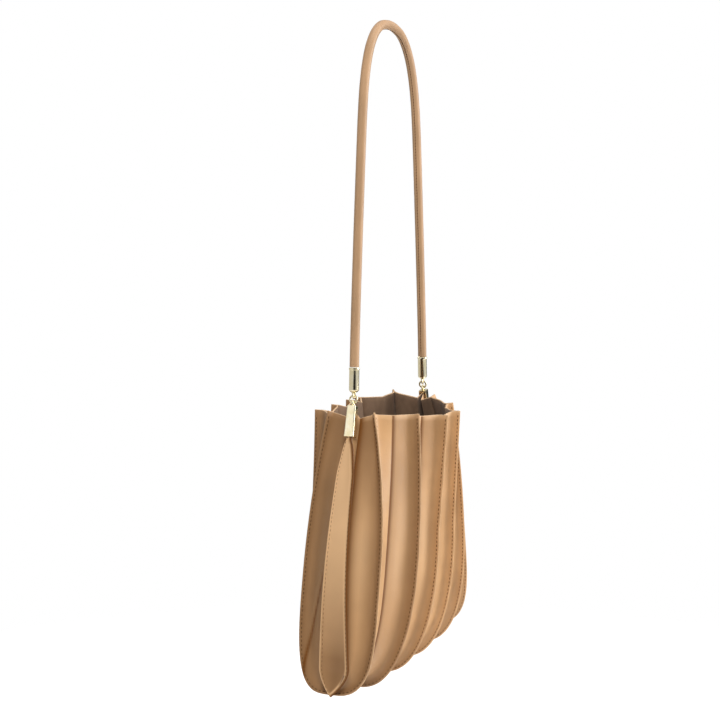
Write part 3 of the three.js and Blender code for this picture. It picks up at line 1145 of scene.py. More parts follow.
@dataclass
class PleatedBody:
    """The bellows of leather: seven pleat panels and two end leaves, with their stitching.

    All sizes are in millimetres. The flanks are numbered from 0 and the leaves from leaf_number, which
    sets their waves. left_sinks and right_sinks say how much lower the front and the back rim hang at
    each end than they are cut, and levels counts the steps down each half. fin_shape steps down the
    pinched ridge, as shares of its depth and of its half, which on a narrow flank are no more than
    fin_shares of its width. stitch_shape steps along a stitch: the share of its length, its share of
    the wire and how far it is lifted there.
    """

    finishes: Finishes
    panels: int = 7
    shown: Drape = Drape()
    # dark painted shade beside the leaf's edge
    behind_leaf: Drape = Drape(leather=0.6, root_pull=0.04, sag=0.0, ripple=0.0, shade=1.0)
    # more painted shade at the rim and a wider painted shadow beside the valley
    beside_leaf: Drape = Drape(mouth=(0.95, 80.0), root=(1.0, 9.0), crease=3.6)
    tucked: Drape = replace(beside_leaf, tuck=Tuck())
    # painted shade all over the second flank
    second: Drape = Drape(shade_all_over=0.42)
    on_leaf: Drape = Drape(leather=0.9, root_pull=0.04, valley_pull=0.55, sag=0.0, ripple=0.1,
                           smooth=True, seam=0.75, stitch_wire=0.17)
    wear: Wear = Wear()
    leaf_form: LeafForm = LeafForm()
    leaf_number: int = 20
    pinch: Pinch = Pinch()
    left_sinks: Span = (0.0, 3.0)
    right_sinks: Span = (-3.0, -3.0)
    levels: int = 84
    curve_rows: int = 18
    waves: tuple[Wave, ...] = (Wave(0.066, 1.0, 1.7), Wave(0.119, 0.6, 3.91))
    leather_share: float = 0.25
    join_gap: float = 0.05
    fin_depth: float = 2.6
    fin_half: float = 0.9
    fin_shares: Span = (0.2, 0.08)
    fin_start: float = 0.3
    fin_shape: tuple[Span, ...] = (
        (0.0, 0.0), (0.03, 0.4), (0.1, 0.72), (0.24, 0.94), (0.55, 1.0), (0.85, 1.0), (1.0, 1.02),
    )
    rim_rise: float = 0.55
    rim_wear: float = 0.4
    rim_turns: tuple[float, ...] = (0.25, 0.5, 0.75)
    stitch_pitch: float = 3.4
    stitch_length: float = 2.1
    stitch_margin: float = 3.0
    stitch_sides: int = 6
    stitch_flat: float = 0.8
    stitch_shape: tuple[Point, ...] = (
        (0.0, 0.35, -0.12), (0.16, 0.85, 0.03), (0.5, 1.0, 0.12), (0.84, 0.85, 0.03), (1.0, 0.35, -0.12),
    )

    def __post_init__(self) -> None:
        """Lays out the folds, the flanks' inward normals, the folds' bisectors and the panels' drapes."""
        near = self.end_folds(self.left_sinks)
        far = [line * np.array([-1.0, 1.0, 1.0]) for line in self.end_folds(self.right_sinks)[-2::-1]]
        self.folds = near + far
        self.normals = [self.flank_normal(a, b) for a, b in zip(self.folds, self.folds[1:])]
        sides = [self.leaf_normal(self.folds[0], 1.0), *self.normals, self.leaf_normal(self.folds[-1], -1.0)]
        self.inward = [unit(before + after) for before, after in zip(sides, sides[1:])]
        self.leaf_inward = {Side.LEFT: sides[0], Side.RIGHT: sides[-1]}
        self.drapes = [(self.shown, self.shown)] * self.panels
        self.drapes[0] = (self.behind_leaf, self.tucked)
        self.drapes[1] = (self.shown, self.second)
        self.drapes[-2] = (self.second, self.shown)
        self.drapes[-1] = (self.beside_leaf, self.behind_leaf)

    def end_folds(self, sinks: Span) -> list[np.ndarray]:
        """The folds of one end, as at the left, with the mouth hanging higher or lower than it is cut.

        Args:
            sinks: How much lower the front and the back rim hang at the outer ridge.

        Returns:
            The folds, from the end leaf's edge, which the clip holds, to the middle.
        """
        lines = [FOLDS[0].line(self.levels, self.pinch, (0.0, 0.0))]
        for fold in FOLDS[1:]:
            weight = fold.rim_x / FOLDS[2].rim_x
            lines.append(fold.line(self.levels, None, (sinks[0] * weight, sinks[1] * weight)))
        return lines

    @staticmethod
    def flank_normal(fold: np.ndarray, following: np.ndarray) -> np.ndarray:
        """The inward normal of the flank between two folds, at each station.

        Args:
            fold: The fold nearer the left end.
            following: The next fold.

        Returns:
            Directions, one a station.
        """
        along = np.gradient((fold + following) / 2.0, axis=0)
        return unit(np.cross(following - fold, along))

    def leaf_normal(self, edge: np.ndarray, inward: float) -> np.ndarray:
        """The inward normal of an end leaf, at each station of its edge.

        Args:
            edge: The leaf's edge.
            inward: The sign of X towards the middle.

        Returns:
            Directions, one a station.
        """
        fall = np.diff(edge[: self.levels + 1], axis=0)
        fall = np.concatenate([fall, fall[-1:]])
        half = unit(np.stack([-fall[:, 2] * inward, np.zeros(len(fall)), -np.abs(fall[:, 0])], axis=1))
        return np.concatenate([half, half[-2::-1]])

    def flank(self, ridge: int, valley: np.ndarray, normal: np.ndarray, number: int, drape: Drape) -> Flank:
        """Draws one flank from a pinched, stitched ridge to a valley.

        Args:
            ridge: Number of the ridge among the folds.
            valley: The line that the flank runs to.
            normal: The flank's inward normal at each station.
            number: Number of the flank, which sets its own slight waves.
            drape: How the flank hangs between its ridge and its valley.

        Returns:
            The flank, with rows from the ridge to the valley.
        """
        tip, inward = self.folds[ridge], self.inward[ridge]
        across = valley - tip
        width = np.maximum(np.linalg.norm(across, axis=1, keepdims=True), TINY)
        straight = across / width
        aside = unit(straight - dot(straight, inward) * inward)
        depth = np.minimum(self.fin_depth, self.fin_shares[0] * width)
        half = np.minimum(self.fin_half, self.fin_shares[1] * width)
        fin = [tip + inward * depth * down + aside * np.maximum(half * out, self.join_gap)
               for down, out in self.fin_shape]
        root = fin[-1]
        towards = unit(straight - dot(straight, normal) * normal) if drape.smooth else unit(valley - root)
        first = root + inward * width * drape.root_pull
        second = valley - towards * width * drape.valley_pull
        along = arc_lengths(tip)[:, None]
        ripple = drape.ripple * sum(w.share * np.sin(along * w.turn + number * w.shift) for w in self.waves)
        curve = []
        for turn in np.linspace(0.0, math.pi, self.curve_rows + 1)[1:]:
            share = (1.0 - math.cos(turn)) / 2.0
            left = 1.0 - share
            bow = math.sin(math.pi * share)
            point = root * left ** 3 + first * 3 * share * left ** 2 + second * 3 * share ** 2 * left
            curve.append(point + valley * share ** 3 + normal * (drape.sag * bow + ripple * bow * bow))
        outer = np.stack(fin + curve)
        marks = self.wear_and_painted_light(outer, along[:, 0], normal, drape)
        if drape.tuck is not None:
            outer, marks = self.press(outer, marks, normal, drape.tuck)
        thick = np.minimum(drape.leather, self.leather_share * width)
        inner = self.inner_face(outer, normal * thick, tip, inward, aside, depth)
        seam = tip + inward * depth * drape.seam + aside * half * self.fin_shape[-1][1]
        return Flank(outer, inner, marks, seam, aside, drape.stitch_wire)

    def press(self, outer: np.ndarray, marks: np.ndarray, normal: np.ndarray,
              tuck: Tuck) -> tuple[np.ndarray, np.ndarray]:
        """Presses a slanting crease into the back half of a flank, deepest halfway across.

        Args:
            outer: The outer face, [row][station].
            marks: The wear of the outer face.
            normal: The flank's inward normal at each station.
            tuck: The crease.

        Returns:
            The creased face and its wear.
        """
        reach = across_lengths(outer)
        width = np.maximum(reach[-1:], TINY)
        share = reach / width
        rise = tuck.valley_drop - tuck.ridge_drop
        off = (-outer[..., 2] - tuck.ridge_drop - rise * share) * width / np.hypot(width, rise)
        at_back = np.arange(outer.shape[1]) > self.levels
        dent = bell(off, tuck.dent_width) * at_back * np.sin(math.pi * share) ** 2
        # a dark line of painted shade along the crease
        crease_shade = np.maximum(marks[..., 1], bell(off, tuck.width) * at_back)
        pressed = outer + normal * (tuck.dent_depth * dent)[..., None]
        return pressed, np.stack([marks[..., 0], crease_shade, marks[..., 2]], axis=-1)

    def inner_face(self, outer: np.ndarray, normal: np.ndarray, tip: np.ndarray, inward: np.ndarray,
                   aside: np.ndarray, depth: np.ndarray) -> np.ndarray:
        """The inner face of a flank, a thickness behind the outer one.

        In the pinched ridge it lies flat against its neighbour.

        Args:
            outer: The outer face, [row][station].
            normal: The flank's inward normal at each station, as long as the leather is thick.
            tip: The ridge's line.
            inward: The ridge's bisector.
            aside: The direction from the ridge's middle plane to this flank.
            depth: The depth of the fin.

        Returns:
            The inner face, [row][station].
        """
        flat_row = -self.curve_rows // 3
        behind = unit(np.cross(np.gradient(outer, axis=0), np.gradient(outer, axis=1)))
        behind = behind * np.sign(np.mean(dot(behind[flat_row], normal)))
        inner = outer + behind * np.linalg.norm(normal, axis=1, keepdims=True)
        inner = inner + aside * np.maximum(0.0, self.join_gap - dot(inner - tip, aside))
        start = np.minimum(self.fin_start, depth / 2.0)
        fins = len(self.fin_shape)
        for row in range(fins):
            share = row / (fins - 1)
            inner[row] = tip + inward * (start + (depth - start) * share) + aside * self.join_gap
        return inner

    def wear_and_painted_light(self, outer: np.ndarray, along: np.ndarray, normal: np.ndarray, drape: Drape) -> np.ndarray:
        """How pale from wear and painted highlights, and how much painted shade, a flank has.

        Args:
            outer: The outer face, [row][station].
            along: The distance along the ridge at each station.
            normal: The flank's inward normal at each station.
            drape: How the flank hangs.

        Returns:
            Three values from 0 to 1 for each point.
        """
        wear = self.wear
        reach = across_lengths(outer)
        from_valley = reach[-1:] - reach
        from_rim = np.broadcast_to(np.minimum(along, along[-1] - along), reach.shape)
        faces_end = np.mean(normal[:, 0]) * np.mean(outer[..., 0]) < 0.0
        # painted shade over the back of the bag
        towards_back = np.clip(outer[..., 1] / wear.back_reach, 0.0, 1.0)
        uneven = wear.rub_least + wear.rub_varies * np.sin(along * wear.rub_turn)
        # pale wear along the ridges and the rims
        wear_and_highlights = [np.exp(-reach / wear.ridge_rub) * uneven, wear.rim_share * np.exp(-from_rim / wear.rim_rub)]
        painted_shades = [wear.back * towards_back]
        if faces_end:
            # a painted highlight halfway down a flank that faces an end
            share = reach / np.maximum(reach[-1:], TINY)
            halfway = bell(-outer[..., 2] - wear.highlight_drop, wear.highlight_run)
            wear_and_highlights.append(drape.painted_highlight * halfway * bell(share - wear.highlight_share, wear.highlight_spread))
            # painted shade beside the ridge, a painted shadow beside the valley, painted shade at the rim and
            # all over
            outwards = np.clip(np.abs(outer[..., 0]) / wear.end_reach, wear.end_least, 1.0)
            painted_shades.append(outwards * bell(reach, wear.ridge_shade_spread))
            painted_shades.append(drape.root[0] * bell(from_valley, drape.root[1]))
            painted_shades.append(drape.mouth[0] * bell(from_rim, drape.mouth[1]))
            painted_shades.append(np.full_like(reach, drape.shade_all_over))
        else:
            # faint painted shade beside the ridge
            painted_shades.append(wear.away * bell(reach, wear.ridge_shade_spread))
        # dark painted shade in the valley and beside the ridge
        crease_shade = np.maximum(bell(from_valley, drape.crease if faces_end else wear.away_crease),
                             drape.shade * bell(reach, wear.ridge_shade, power=4))
        # the back is made less pale, as part of its painted shade
        paled = np.maximum.reduce(wear_and_highlights) * (1.0 - wear.back_less_pale * towards_back)
        return np.stack([paled, crease_shade, np.maximum.reduce(painted_shades)], axis=-1)

    def shell(self, outer: np.ndarray, inner: np.ndarray, marks: np.ndarray, name: str,
              open_ends: tuple[bool, bool] = (True, True)) -> Piece:
        """Closes an outer and an inner face into one wall with rounded rims.

        Args:
            outer: The outer face, [row][station], in millimetres.
            inner: The inner face.
            marks: The wear of the outer face.
            name: Name of the piece.
            open_ends: Whether the first and the last station are rims, which are rounded.

        Returns:
            The wall.
        """
        draft = Draft()
        grain = draft.add(outer * MM, marks)
        suede = draft.add(inner * MM)
        draft.quads(grain, Skin.GRAIN)
        draft.quads(suede, Skin.SUEDE, flip=True)
        for row in (0, -1):
            draft.quads(np.stack([grain[row], suede[row]]), Skin.GRAIN, flip=row == 0)
        paled = np.tile([self.rim_wear, 0.0, 0.0], (len(outer), 1))
        for station, step, rim in ((0, 1, open_ends[0]), (-1, -2, open_ends[1])):
            rows = [grain[:, station]]
            if rim:
                rise = unit(outer[:, station] - outer[:, step]) * self.rim_rise
                middle = (outer[:, station] + inner[:, station]) / 2.0
                for turn in self.rim_turns:
                    lift = middle + (outer[:, station] - middle) * math.cos(math.pi * turn)
                    rows.append(draft.add((lift + rise * math.sin(math.pi * turn)) * MM, paled))
            rows.append(suede[:, station])
            draft.quads(np.stack(rows), Skin.EDGE, flip=station == 0)
        return draft.object(name, self.finishes.body)

    def panel(self, number: int) -> tuple[Piece, Piece]:
        """Makes one pleat panel and its stitching.

        Args:
            number: Its number from the left end, from 0.

        Returns:
            The panel and its stitches.
        """
        first = 2 * number
        valley = self.folds[first + 1]
        near_drape, far_drape = self.drapes[number]
        near = self.flank(first, valley, self.normals[first], first, near_drape)
        far = self.flank(first + 2, valley, self.normals[first + 1], first + 1, far_drape)
        outer = np.concatenate([near.outer, far.outer[-2::-1]])
        marks = np.concatenate([near.marks, far.marks[-2::-1]])
        crease = (near.inner[-1:] + far.inner[-1:]) / 2.0
        inner = np.concatenate([near.inner[:-1], crease, far.inner[-2::-1]])
        name = f"pleat_panel_{number + 1}"
        panel = self.shell(outer, inner, marks, f"{name}_leather")
        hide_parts(name)
        thread = self.stitches([near, far], f"{name}_stitches")
        return panel, thread

    def leaf(self, side: Side) -> tuple[Piece, Piece]:
        """Makes one end leaf and its stitching.

        Args:
            side: Which end.

        Returns:
            The leaf and its stitches.
        """
        form = self.leaf_form
        ridge = 0 if side is Side.LEFT else len(self.folds) - 1
        edge, normal = self.folds[ridge], self.leaf_inward[side]
        level = 1.0 - np.abs(np.linspace(-1.0, 1.0, len(edge)))[:, None]
        late = np.clip((level - form.hollow_from) / form.hollow_over, 0.0, 1.0)
        hollow = form.hollow_top + (form.hollow_low - form.hollow_top) * late * late * (3.0 - 2.0 * late)
        width = np.abs(edge[:, 1:2] - edge[::-1, 1:2])
        opened = np.clip(width / form.open_width, 0.0, 1.0) ** form.open_power
        middle = (edge + edge[::-1]) / 2.0 + normal * hollow * opened
        whole = self.flank(ridge, middle, normal, self.leaf_number + ridge, self.on_leaf)
        last = self.levels + 1
        outer, inner = (np.concatenate([face[:, :last], face[-2::-1, ::-1][:, :last]])
                        for face in (whole.outer, whole.inner))
        marks = self.leaf_painted_light(outer, arc_lengths(edge[:last]), late[:last, 0])
        name = f"end_leaf_{side.value}"
        leaf = self.shell(outer, inner, marks, f"{name}_leather", (True, False))
        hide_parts(name)
        return leaf, self.stitches([whole], f"{name}_stitches")

    def leaf_painted_light(self, outer: np.ndarray, along: np.ndarray, low_down: np.ndarray) -> np.ndarray:
        """The painted highlights and painted shade over an end leaf.

        Args:
            outer: The outer face, [row][station], from the front edge to the back edge.
            along: The distance along the edge at each station.
            low_down: How near each station is to the foot, from 0 to 1.

        Returns:
            Three values from 0 to 1 for each point.
        """
        form = self.leaf_form
        from_front = np.linalg.norm(outer - outer[:1], axis=2)
        from_back = np.linalg.norm(outer - outer[-1:], axis=2)
        share = from_front / np.maximum(from_front + from_back, TINY)
        # painted highlights: pale lines along the edges
        edges = np.maximum(bell(from_front - form.edge_inset, form.edge), bell(from_back, form.edge))
        # painted shade under the clip, mostly in front
        below_clip = np.clip(along - self.pinch.length, 0.0, None)
        pinched = form.clip * bell(below_clip, form.clip_run) * bell(share, form.clip_spread)
        # painted shade at the foot
        foot = low_down * (form.foot + form.foot_middle * bell(share - form.foot_share, form.foot_spread))
        # painted highlight over the leaf above its foot
        paled = np.maximum((1.0 - low_down) * (1.0 - pinched), edges)
        burnished = np.maximum(foot, pinched) * (1.0 - edges)
        # a painted shadow as a dark line along the stitched front edge
        return np.stack([paled, bell(from_front, form.sewn, power=4), burnished], axis=-1)

    def stitches(self, flanks: list[Flank], name: str) -> Piece:
        """Sews a row of stitches along the ridge of each flank.

        Args:
            flanks: The flanks.
            name: Name of the piece.

        Returns:
            All the stitches as one object.
        """
        draft = Draft()
        girth = full_turn(self.stitch_sides)
        glance = 0.2
        for flank in flanks:
            along = arc_lengths(flank.seam)
            last = along[-1] - self.stitch_margin - self.stitch_length
            starts = np.arange(self.stitch_margin, last, self.stitch_pitch)
            rings = []
            for share, swell, lift in self.stitch_shape:
                here = starts + share * self.stitch_length
                point = at_lengths(flank.seam, along, here)
                out = unit(at_lengths(flank.outward, along, here))
                ahead = unit(at_lengths(flank.seam, along, here + glance) - point)
                side = unit(np.cross(ahead, out))
                round_it = spokes(out * self.stitch_flat, side, girth)
                rings.append((point + out * lift)[:, None] + round_it * flank.stitch_wire * swell)
            draft.tubes(np.stack(rings, axis=1) * MM)
        return draft.object(name, [self.finishes.thread], sharp=180.0)

    def build(self) -> list[Piece]:
        """Makes every piece of the body and seats it.

        Returns:
            The pieces.
        """
        made: list[Piece] = []
        for number in range(self.panels):
            made.extend(self.panel(number))
        for side in Side:
            made.extend(self.leaf(side))
        for piece in made:
            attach(piece, "root")
        return made


@dataclass
class Hardware:
    """One end's pale gold metal: the clip with its loop, the ring and the ferrule. In millimetres.

    clip_collar steps up the clip's foot: the height above the foot and how far it stands out there.
    cap_steps step over its top: the depth below the top and the share by which it draws in. The
    profile of the ferrule is turned, as distances from its axis and heights.
    """

    finishes: Finishes
    side: Side
    clip_gap: float = 0.3
    clip_plate: float = 1.0
    clip_cap: float = 2.5
    clip_height: float = 25.5
    clip_depth: float = 6.8
    clip_top_half: float = 3.5
    clip_foot_half: float = 4.1
    clip_soft: float = 0.75
    clip_turns: int = 6
    clip_lip: float = 0.22
    clip_crown: Span = (0.12, 0.16)
    clip_collar: tuple[Span, ...] = ((0.0, -0.28), (0.3, 0.12), (1.6, 0.12), (1.9, 0.0))
    clip_levels: tuple[float, ...] = (-10.0, -2.0)
    cap_steps: tuple[Span, ...] = ((0.6, 0.0), (0.18, 0.03), (0.0, 0.125))
    cap_middle: float = 1.8
    slot_half: float = 2.9
    slot_soft: float = 0.3
    slot_points: int = 8
    eye_radius: float = 2.0
    eye_wire: float = 0.85
    ring_radius: float = 3.1
    ring_wire: float = 0.75
    wire_steps: int = 48
    wire_sides: int = 16
    loop_sink: float = 0.65
    loop_inset: float = 2.6
    link_lean: float = 13.0
    ferrule_lean: float = 2.9
    eye_drop: float = 2.3
    ferrule_sides: int = 56
    ferrule_profile: tuple[Span, ...] = (
        (0.0, -0.6), (1.75, -0.6), (1.9, -0.45), (1.9, 0.1), (2.3, 0.32), (3.1, 0.75), (3.7, 1.35),
        (4.0, 1.9), (4.1, 2.5), (4.1, 17.9), (4.2, 18.15), (4.38, 18.4), (4.4, 18.7), (4.4, 19.4),
        (4.34, 19.75), (4.15, 19.95), (3.95, 20.0), (3.8, 19.9), (3.75, 19.6), (3.75, 18.6), (0.0, 18.6),
    )

    def __post_init__(self) -> None:
        """Works out where each link hangs, from the clip upwards."""
        edge, rim, length = FOLDS[0], FOLDS[0].front.rim, Pinch().length
        slope = math.atan((edge.reach(rim, rim + length) - edge.rim_x) / length)
        self.clip_place = Matrix.Translation((-edge.rim_x, 0.0, -rim)) @ Matrix.Rotation(slope, 4, "Y")
        self.clip_top = self.clip_gap + self.clip_cap
        self.loop_at = Vector((self.loop_inset, 0.0, self.clip_top + self.eye_radius
                               + self.eye_wire - self.loop_sink))
        loop = self.clip_place @ self.loop_at
        lean = Matrix.Rotation(math.radians(self.link_lean), 4, "Y")
        up = lean @ Vector((0.0, 0.0, 1.0))
        self.ring_place = Matrix.Translation(loop + up * self.ring_radius) @ lean
        tilt = Matrix.Rotation(math.radians(self.ferrule_lean), 4, "Y")
        eye = loop + up * 2.0 * self.ring_radius
        self.ferrule_place = Matrix.Translation(eye) @ tilt @ Matrix.Translation((0.0, 0.0, self.eye_drop))

    def placed(self, points: np.ndarray, place: Matrix) -> np.ndarray:
        """Carries points to their place at this end.

        Args:
            points: Points in millimetres.
            place: Their place at the left end.

        Returns:
            The points in metres.
        """
        whole = np.array(self.side.turn @ place)
        return (points @ whole[:3, :3].T + whole[:3, 3]) * MM

    def add_wire(self, draft: Draft, radius: float, thick: float, lie: Lie, place: Matrix) -> None:
        """Adds a wire ring to a draft.

        Args:
            draft: The draft.
            radius: Radius to the middle of the wire.
            thick: Radius of the wire.
            lie: The plane that the ring lies in.
            place: Its place at the left end.
        """
        turn = full_turn(self.wire_steps)[:, None]
        girth = full_turn(self.wire_sides)[None, :]
        reach = radius + thick * np.cos(girth)
        wide, high = reach * np.cos(turn), reach * np.sin(turn)
        deep = np.broadcast_to(thick * np.sin(girth), wide.shape)
        ring = np.stack([wide, deep, high] if lie is Lie.ALONG else [deep, wide, high], axis=-1)
        index = draft.add(self.placed(ring, place))
        draft.quads(np.concatenate([index, index[:1]]), round_=True)

    def clip_section(self, height: float) -> np.ndarray:
        """The outline of the channel at one height, round its outer face and back along its slot.

        Args:
            height: Height in the clip's own frame.

        Returns:
            Points of the outline, the last slot_points of them along the slot.
        """
        down = (self.clip_top - height) / self.clip_height
        half = self.clip_top_half + (self.clip_foot_half - self.clip_top_half) * down
        outer = -self.clip_gap - self.clip_plate
        mouth = outer + self.clip_depth
        soft, lip = self.clip_soft, self.clip_lip
        turns = np.linspace(0.0, math.pi / 2.0, self.clip_turns)
        right = [(mouth - lip, half)]
        right += [(outer + soft - soft * math.sin(a), half - soft + soft * math.cos(a)) for a in turns]
        low, high = self.clip_crown
        crown = [(outer - low, 0.5 * half), (outer - high, 0.0), (outer - low, -0.5 * half)]
        left = [(x, -y) for x, y in right[::-1]]
        slot, floor, bevel = self.slot_half, -self.clip_gap, self.slot_soft
        back = [(floor, slot - bevel), (floor + bevel, slot), (mouth, slot), (mouth, half - lip)]
        inside = [(x, -y) for x, y in back[::-1]] + back
        return np.array([(x, y, height) for x, y in right + crown + left + inside])

    def clip(self) -> Piece:
        """Makes the clip: a tapered channel with soft edges, closed at its top, and its loop.

        Returns:
            The clip.
        """
        foot = self.clip_top - self.clip_height
        levels = [(foot + rise, more) for rise, more in self.clip_collar]
        levels += [(height, 0.0) for height in (*self.clip_levels, self.clip_gap)]
        sections = []
        for height, more in levels:
            section = self.clip_section(height)
            shift = np.zeros_like(section)
            shift[:, 0] = -more * (section[:, 0] < 0.0)
            shift[:, 1] = np.sign(section[:, 1]) * more
            shift[-self.slot_points:] = 0.0
            sections.append(section + shift)
        draft = Draft()
        index = draft.add(self.placed(np.stack(sections), self.clip_place))
        draft.quads(index, round_=True)
        draft.cap(index[0])
        draft.cap(index[-1][-self.slot_points:][1:-1])
        cap_rows = [index[-1]]
        for depth, pull in self.cap_steps:
            section = self.clip_section(self.clip_top - depth)
            middle = np.array([self.cap_middle, 0.0, self.clip_top - depth])
            drawn_in = middle + (section - middle) * (1.0 - pull)
            cap_rows.append(draft.add(self.placed(drawn_in, self.clip_place)))
        first_inside = index.shape[1] - self.slot_points
        rows = np.stack([np.append(row[: first_inside + 1], row[-1]) for row in cap_rows])
        draft.quads(rows, round_=True)
        draft.cap(rows[-1])
        loop_place = self.clip_place @ Matrix.Translation(self.loop_at)
        self.add_wire(draft, self.eye_radius, self.eye_wire, Lie.ALONG, loop_place)
        clip = draft.object(f"clip_{self.side.value}_plate", [self.finishes.gold], sharp=35.0)
        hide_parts(f"clip_{self.side.value}")
        return clip

    def ring(self) -> Piece:
        """Makes the ring between clip and ferrule.

        Returns:
            The ring.
        """
        draft = Draft()
        self.add_wire(draft, self.ring_radius, self.ring_wire, Lie.ACROSS, self.ring_place)
        ring = draft.object(f"ring_{self.side.value}_wire", [self.finishes.gold])
        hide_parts(f"ring_{self.side.value}")
        return ring

    def ferrule(self) -> Piece:
        """Makes the turned ferrule with its eye.

        Returns:
            The ferrule.
        """
        draft = Draft()
        turn = full_turn(self.ferrule_sides)
        reach, height = np.array(self.ferrule_profile).T
        points = np.stack([np.outer(reach, np.cos(turn)), np.outer(reach, np.sin(turn)),
                           np.repeat(height[:, None], len(turn), axis=1)], axis=-1)
        draft.quads(draft.add(self.placed(points, self.ferrule_place)), round_=True)
        eye_place = self.ferrule_place @ Matrix.Translation((0.0, 0.0, -self.eye_drop))
        self.add_wire(draft, self.eye_radius, self.eye_wire, Lie.ALONG, eye_place)
        ferrule = draft.object(f"ferrule_{self.side.value}_turned", [self.finishes.gold], sharp=40.0)
        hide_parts(f"ferrule_{self.side.value}")
        return ferrule

    def build(self) -> list[Piece]:
        """Makes this end's metal and seats it.

        Returns:
            The pieces.
        """
        made = [self.clip(), self.ring(), self.ferrule()]
        for piece in made:
            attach(piece, "root")
        return made


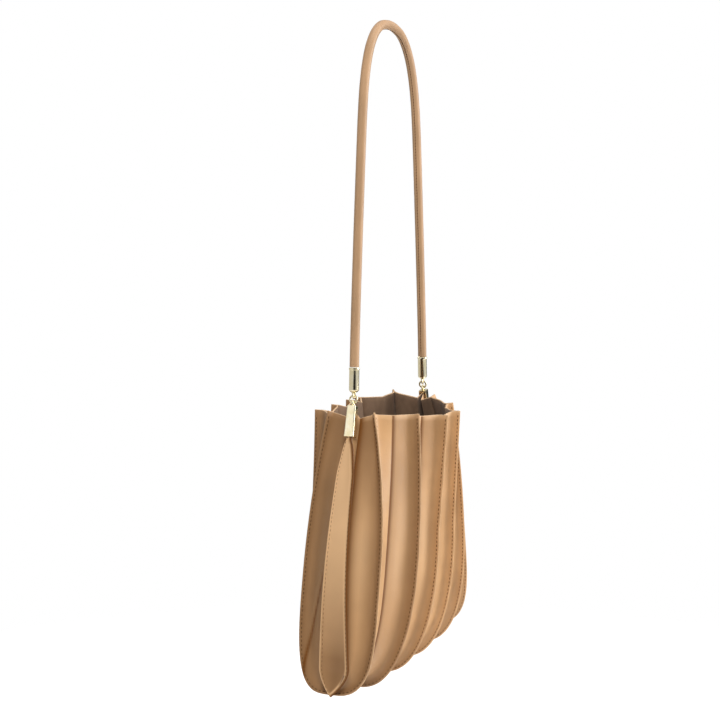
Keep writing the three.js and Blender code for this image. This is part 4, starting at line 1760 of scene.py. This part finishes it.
@dataclass
class Strap:
    """The round rolled cord from ferrule to ferrule, with its stitched seam inside the arch.

    In metres, and in radians round the cord from the seam: the seam takes seam_half each way, with a
    groove between two lips at lip_at. seam_shape steps along a stitch: the share of its length, its
    share of the wire and how deep it sinks.
    """

    finishes: Finishes
    radius: float = 0.00385
    samples: int = 10
    seam_half: float = 0.36
    seam_steps: int = 13
    round_steps: int = 30
    lip_at: float = 0.2
    lip_width: float = 0.09
    lip_height: float = 0.00012
    lip_rub: float = 0.6
    lip_rub_width: float = 0.1
    groove_width: float = 0.075
    groove_depth: float = 0.00034
    # width of the painted shade in the seam's groove
    groove_shade: float = 0.07
    seam_margin: float = 0.004
    seam_pitch: float = 0.0026
    seam_length: float = 0.0019
    seam_wire: float = 0.00022
    seam_sides: int = 6
    seam_slant: float = 0.55
    seam_shape: tuple[Point, ...] = (
        (-0.5, 0.4, 0.0003), (-0.3, 0.9, 0.00004), (0.0, 1.0, -0.00006),
        (0.3, 0.9, 0.00004), (0.5, 0.4, 0.0003),
    )
    half_route: tuple[Span, ...] = (
        (0.0848, -0.2808), (0.0837, -0.262), (0.0822, -0.242), (0.0804, -0.22), (0.0784, -0.197),
        (0.0763, -0.173), (0.074, -0.149), (0.0717, -0.125), (0.0693, -0.101), (0.0665, -0.076),
        (0.0629, -0.0545), (0.0572, -0.0355), (0.0488, -0.0195), (0.0375, -0.0074), (0.0245, 0.0),
        (0.012, 0.0029), (0.0, 0.00385),
    )

    def path(self) -> np.ndarray:
        """The middle of the cord as one smooth line.

        Returns:
            Points from the left ferrule over the crest to the right ferrule.
        """
        left = [(-x, 0.0, z) for x, z in self.half_route]
        right = [(x, 0.0, z) for x, z in self.half_route[-2::-1]]
        knots = np.array(left + right)
        ends = np.concatenate([[2.0 * knots[0] - knots[1]], knots, [2.0 * knots[-1] - knots[-2]]])
        line = [knots[0]]
        for k in range(len(knots) - 1):
            p0, p1, p2, p3 = ends[k: k + 4]
            t1 = np.linalg.norm(p1 - p0) ** 0.5
            t2 = t1 + np.linalg.norm(p2 - p1) ** 0.5
            t3 = t2 + np.linalg.norm(p3 - p2) ** 0.5
            for t in np.linspace(t1, t2, self.samples + 1)[1:]:
                a1 = (p0 * (t1 - t) + p1 * t) / t1
                a2 = (p1 * (t2 - t) + p2 * (t - t1)) / (t2 - t1)
                a3 = (p2 * (t3 - t) + p3 * (t - t2)) / (t3 - t2)
                b1 = (a1 * (t2 - t) + a2 * t) / t2
                b2 = (a2 * (t3 - t) + a3 * (t - t1)) / (t3 - t1)
                line.append((b1 * (t2 - t) + b2 * (t - t1)) / (t2 - t1))
        return np.array(line)

    @staticmethod
    def inner_side(path: np.ndarray) -> np.ndarray:
        """The direction towards the inside of the arch.

        Args:
            path: Points of the cord's middle.

        Returns:
            Directions, one a point.
        """
        ahead = unit(np.gradient(path, axis=0))
        return np.stack([ahead[:, 2], np.zeros(len(path)), -ahead[:, 0]], axis=1)

    def tube(self, path: np.ndarray) -> Piece:
        """Makes the cord, with the lips and the groove of its seam.

        Args:
            path: Points of the cord's middle.

        Returns:
            The cord.
        """
        seam = np.linspace(-self.seam_half, self.seam_half, self.seam_steps)
        rest = np.linspace(self.seam_half, 2.0 * math.pi - self.seam_half, self.round_steps)[1:-1]
        angle = np.concatenate([seam, rest])
        off = np.abs((angle + math.pi) % (2.0 * math.pi) - math.pi)
        lips = self.lip_height * bell(off - self.lip_at, self.lip_width)
        reach = self.radius + lips - self.groove_depth * bell(off, self.groove_width)
        across = np.tile([0.0, 1.0, 0.0], (len(path), 1))
        grid = path[:, None] + spokes(self.inner_side(path), across, angle) * reach[:, None]
        paled = self.lip_rub * bell(off - self.lip_at, self.lip_rub_width)
        # lips pale from rubbing; painted shade in the seam's groove
        marks = np.stack([paled, bell(off, self.groove_shade), np.zeros_like(off)], axis=-1)
        draft = Draft()
        draft.tubes(grid[None], np.tile(marks, (len(path), 1)))
        return draft.object("strap_cord", [self.finishes.strap])

    def seam(self, path: np.ndarray) -> Piece:
        """Sews the seam with short slanted stitches across its groove.

        Args:
            path: Points of the cord's middle.

        Returns:
            The stitches as one object.
        """
        glance = 0.0004
        along = arc_lengths(path)
        here = np.arange(self.seam_margin, along[-1] - self.seam_margin, self.seam_pitch)
        centre = at_lengths(path, along, here)
        inner = unit(at_lengths(self.inner_side(path), along, here))
        ahead = unit(at_lengths(path, along, here + glance) - centre)
        slant = unit(np.cross(ahead, inner) + self.seam_slant * ahead)
        round_it = spokes(inner, np.cross(inner, slant), full_turn(self.seam_sides))
        rings = []
        for share, swell, sink in self.seam_shape:
            point = centre + inner * (self.radius - sink) + slant * share * self.seam_length
            rings.append(point[:, None] + round_it * self.seam_wire * swell)
        draft = Draft()
        draft.tubes(np.stack(rings, axis=1))
        return draft.object("strap_stitches", [self.finishes.thread], sharp=180.0)

    def build(self) -> list[Piece]:
        """Returns:
            The pieces.
        """
        path = self.path()
        cord = self.tube(path)
        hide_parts("strap")
        sewn = self.seam(path)
        for piece in (cord, sewn):
            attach(piece, "root")
        return [cord, sewn]


def report(pieces: list[Piece]) -> None:
    """Logs each piece with its count of faces.

    Args:
        pieces: The pieces just made.
    """
    for piece in pieces:
        LOG.info("%s: %d faces", piece.name, len(piece.data.polygons))


def main() -> None:
    """Builds the bag over the frame."""
    logging.basicConfig(level=logging.INFO, format="%(name)s: %(message)s")
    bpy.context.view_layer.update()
    studio = Studio()
    studio.place_camera()
    finishes = Finishes.mixed()
    report(Strap(finishes).build())
    report(PleatedBody(finishes).build())
    for side in Side:
        report(Hardware(finishes, side).build())
    studio.lay_floor()
    studio.light()


if __name__ == "__main__":
    main()
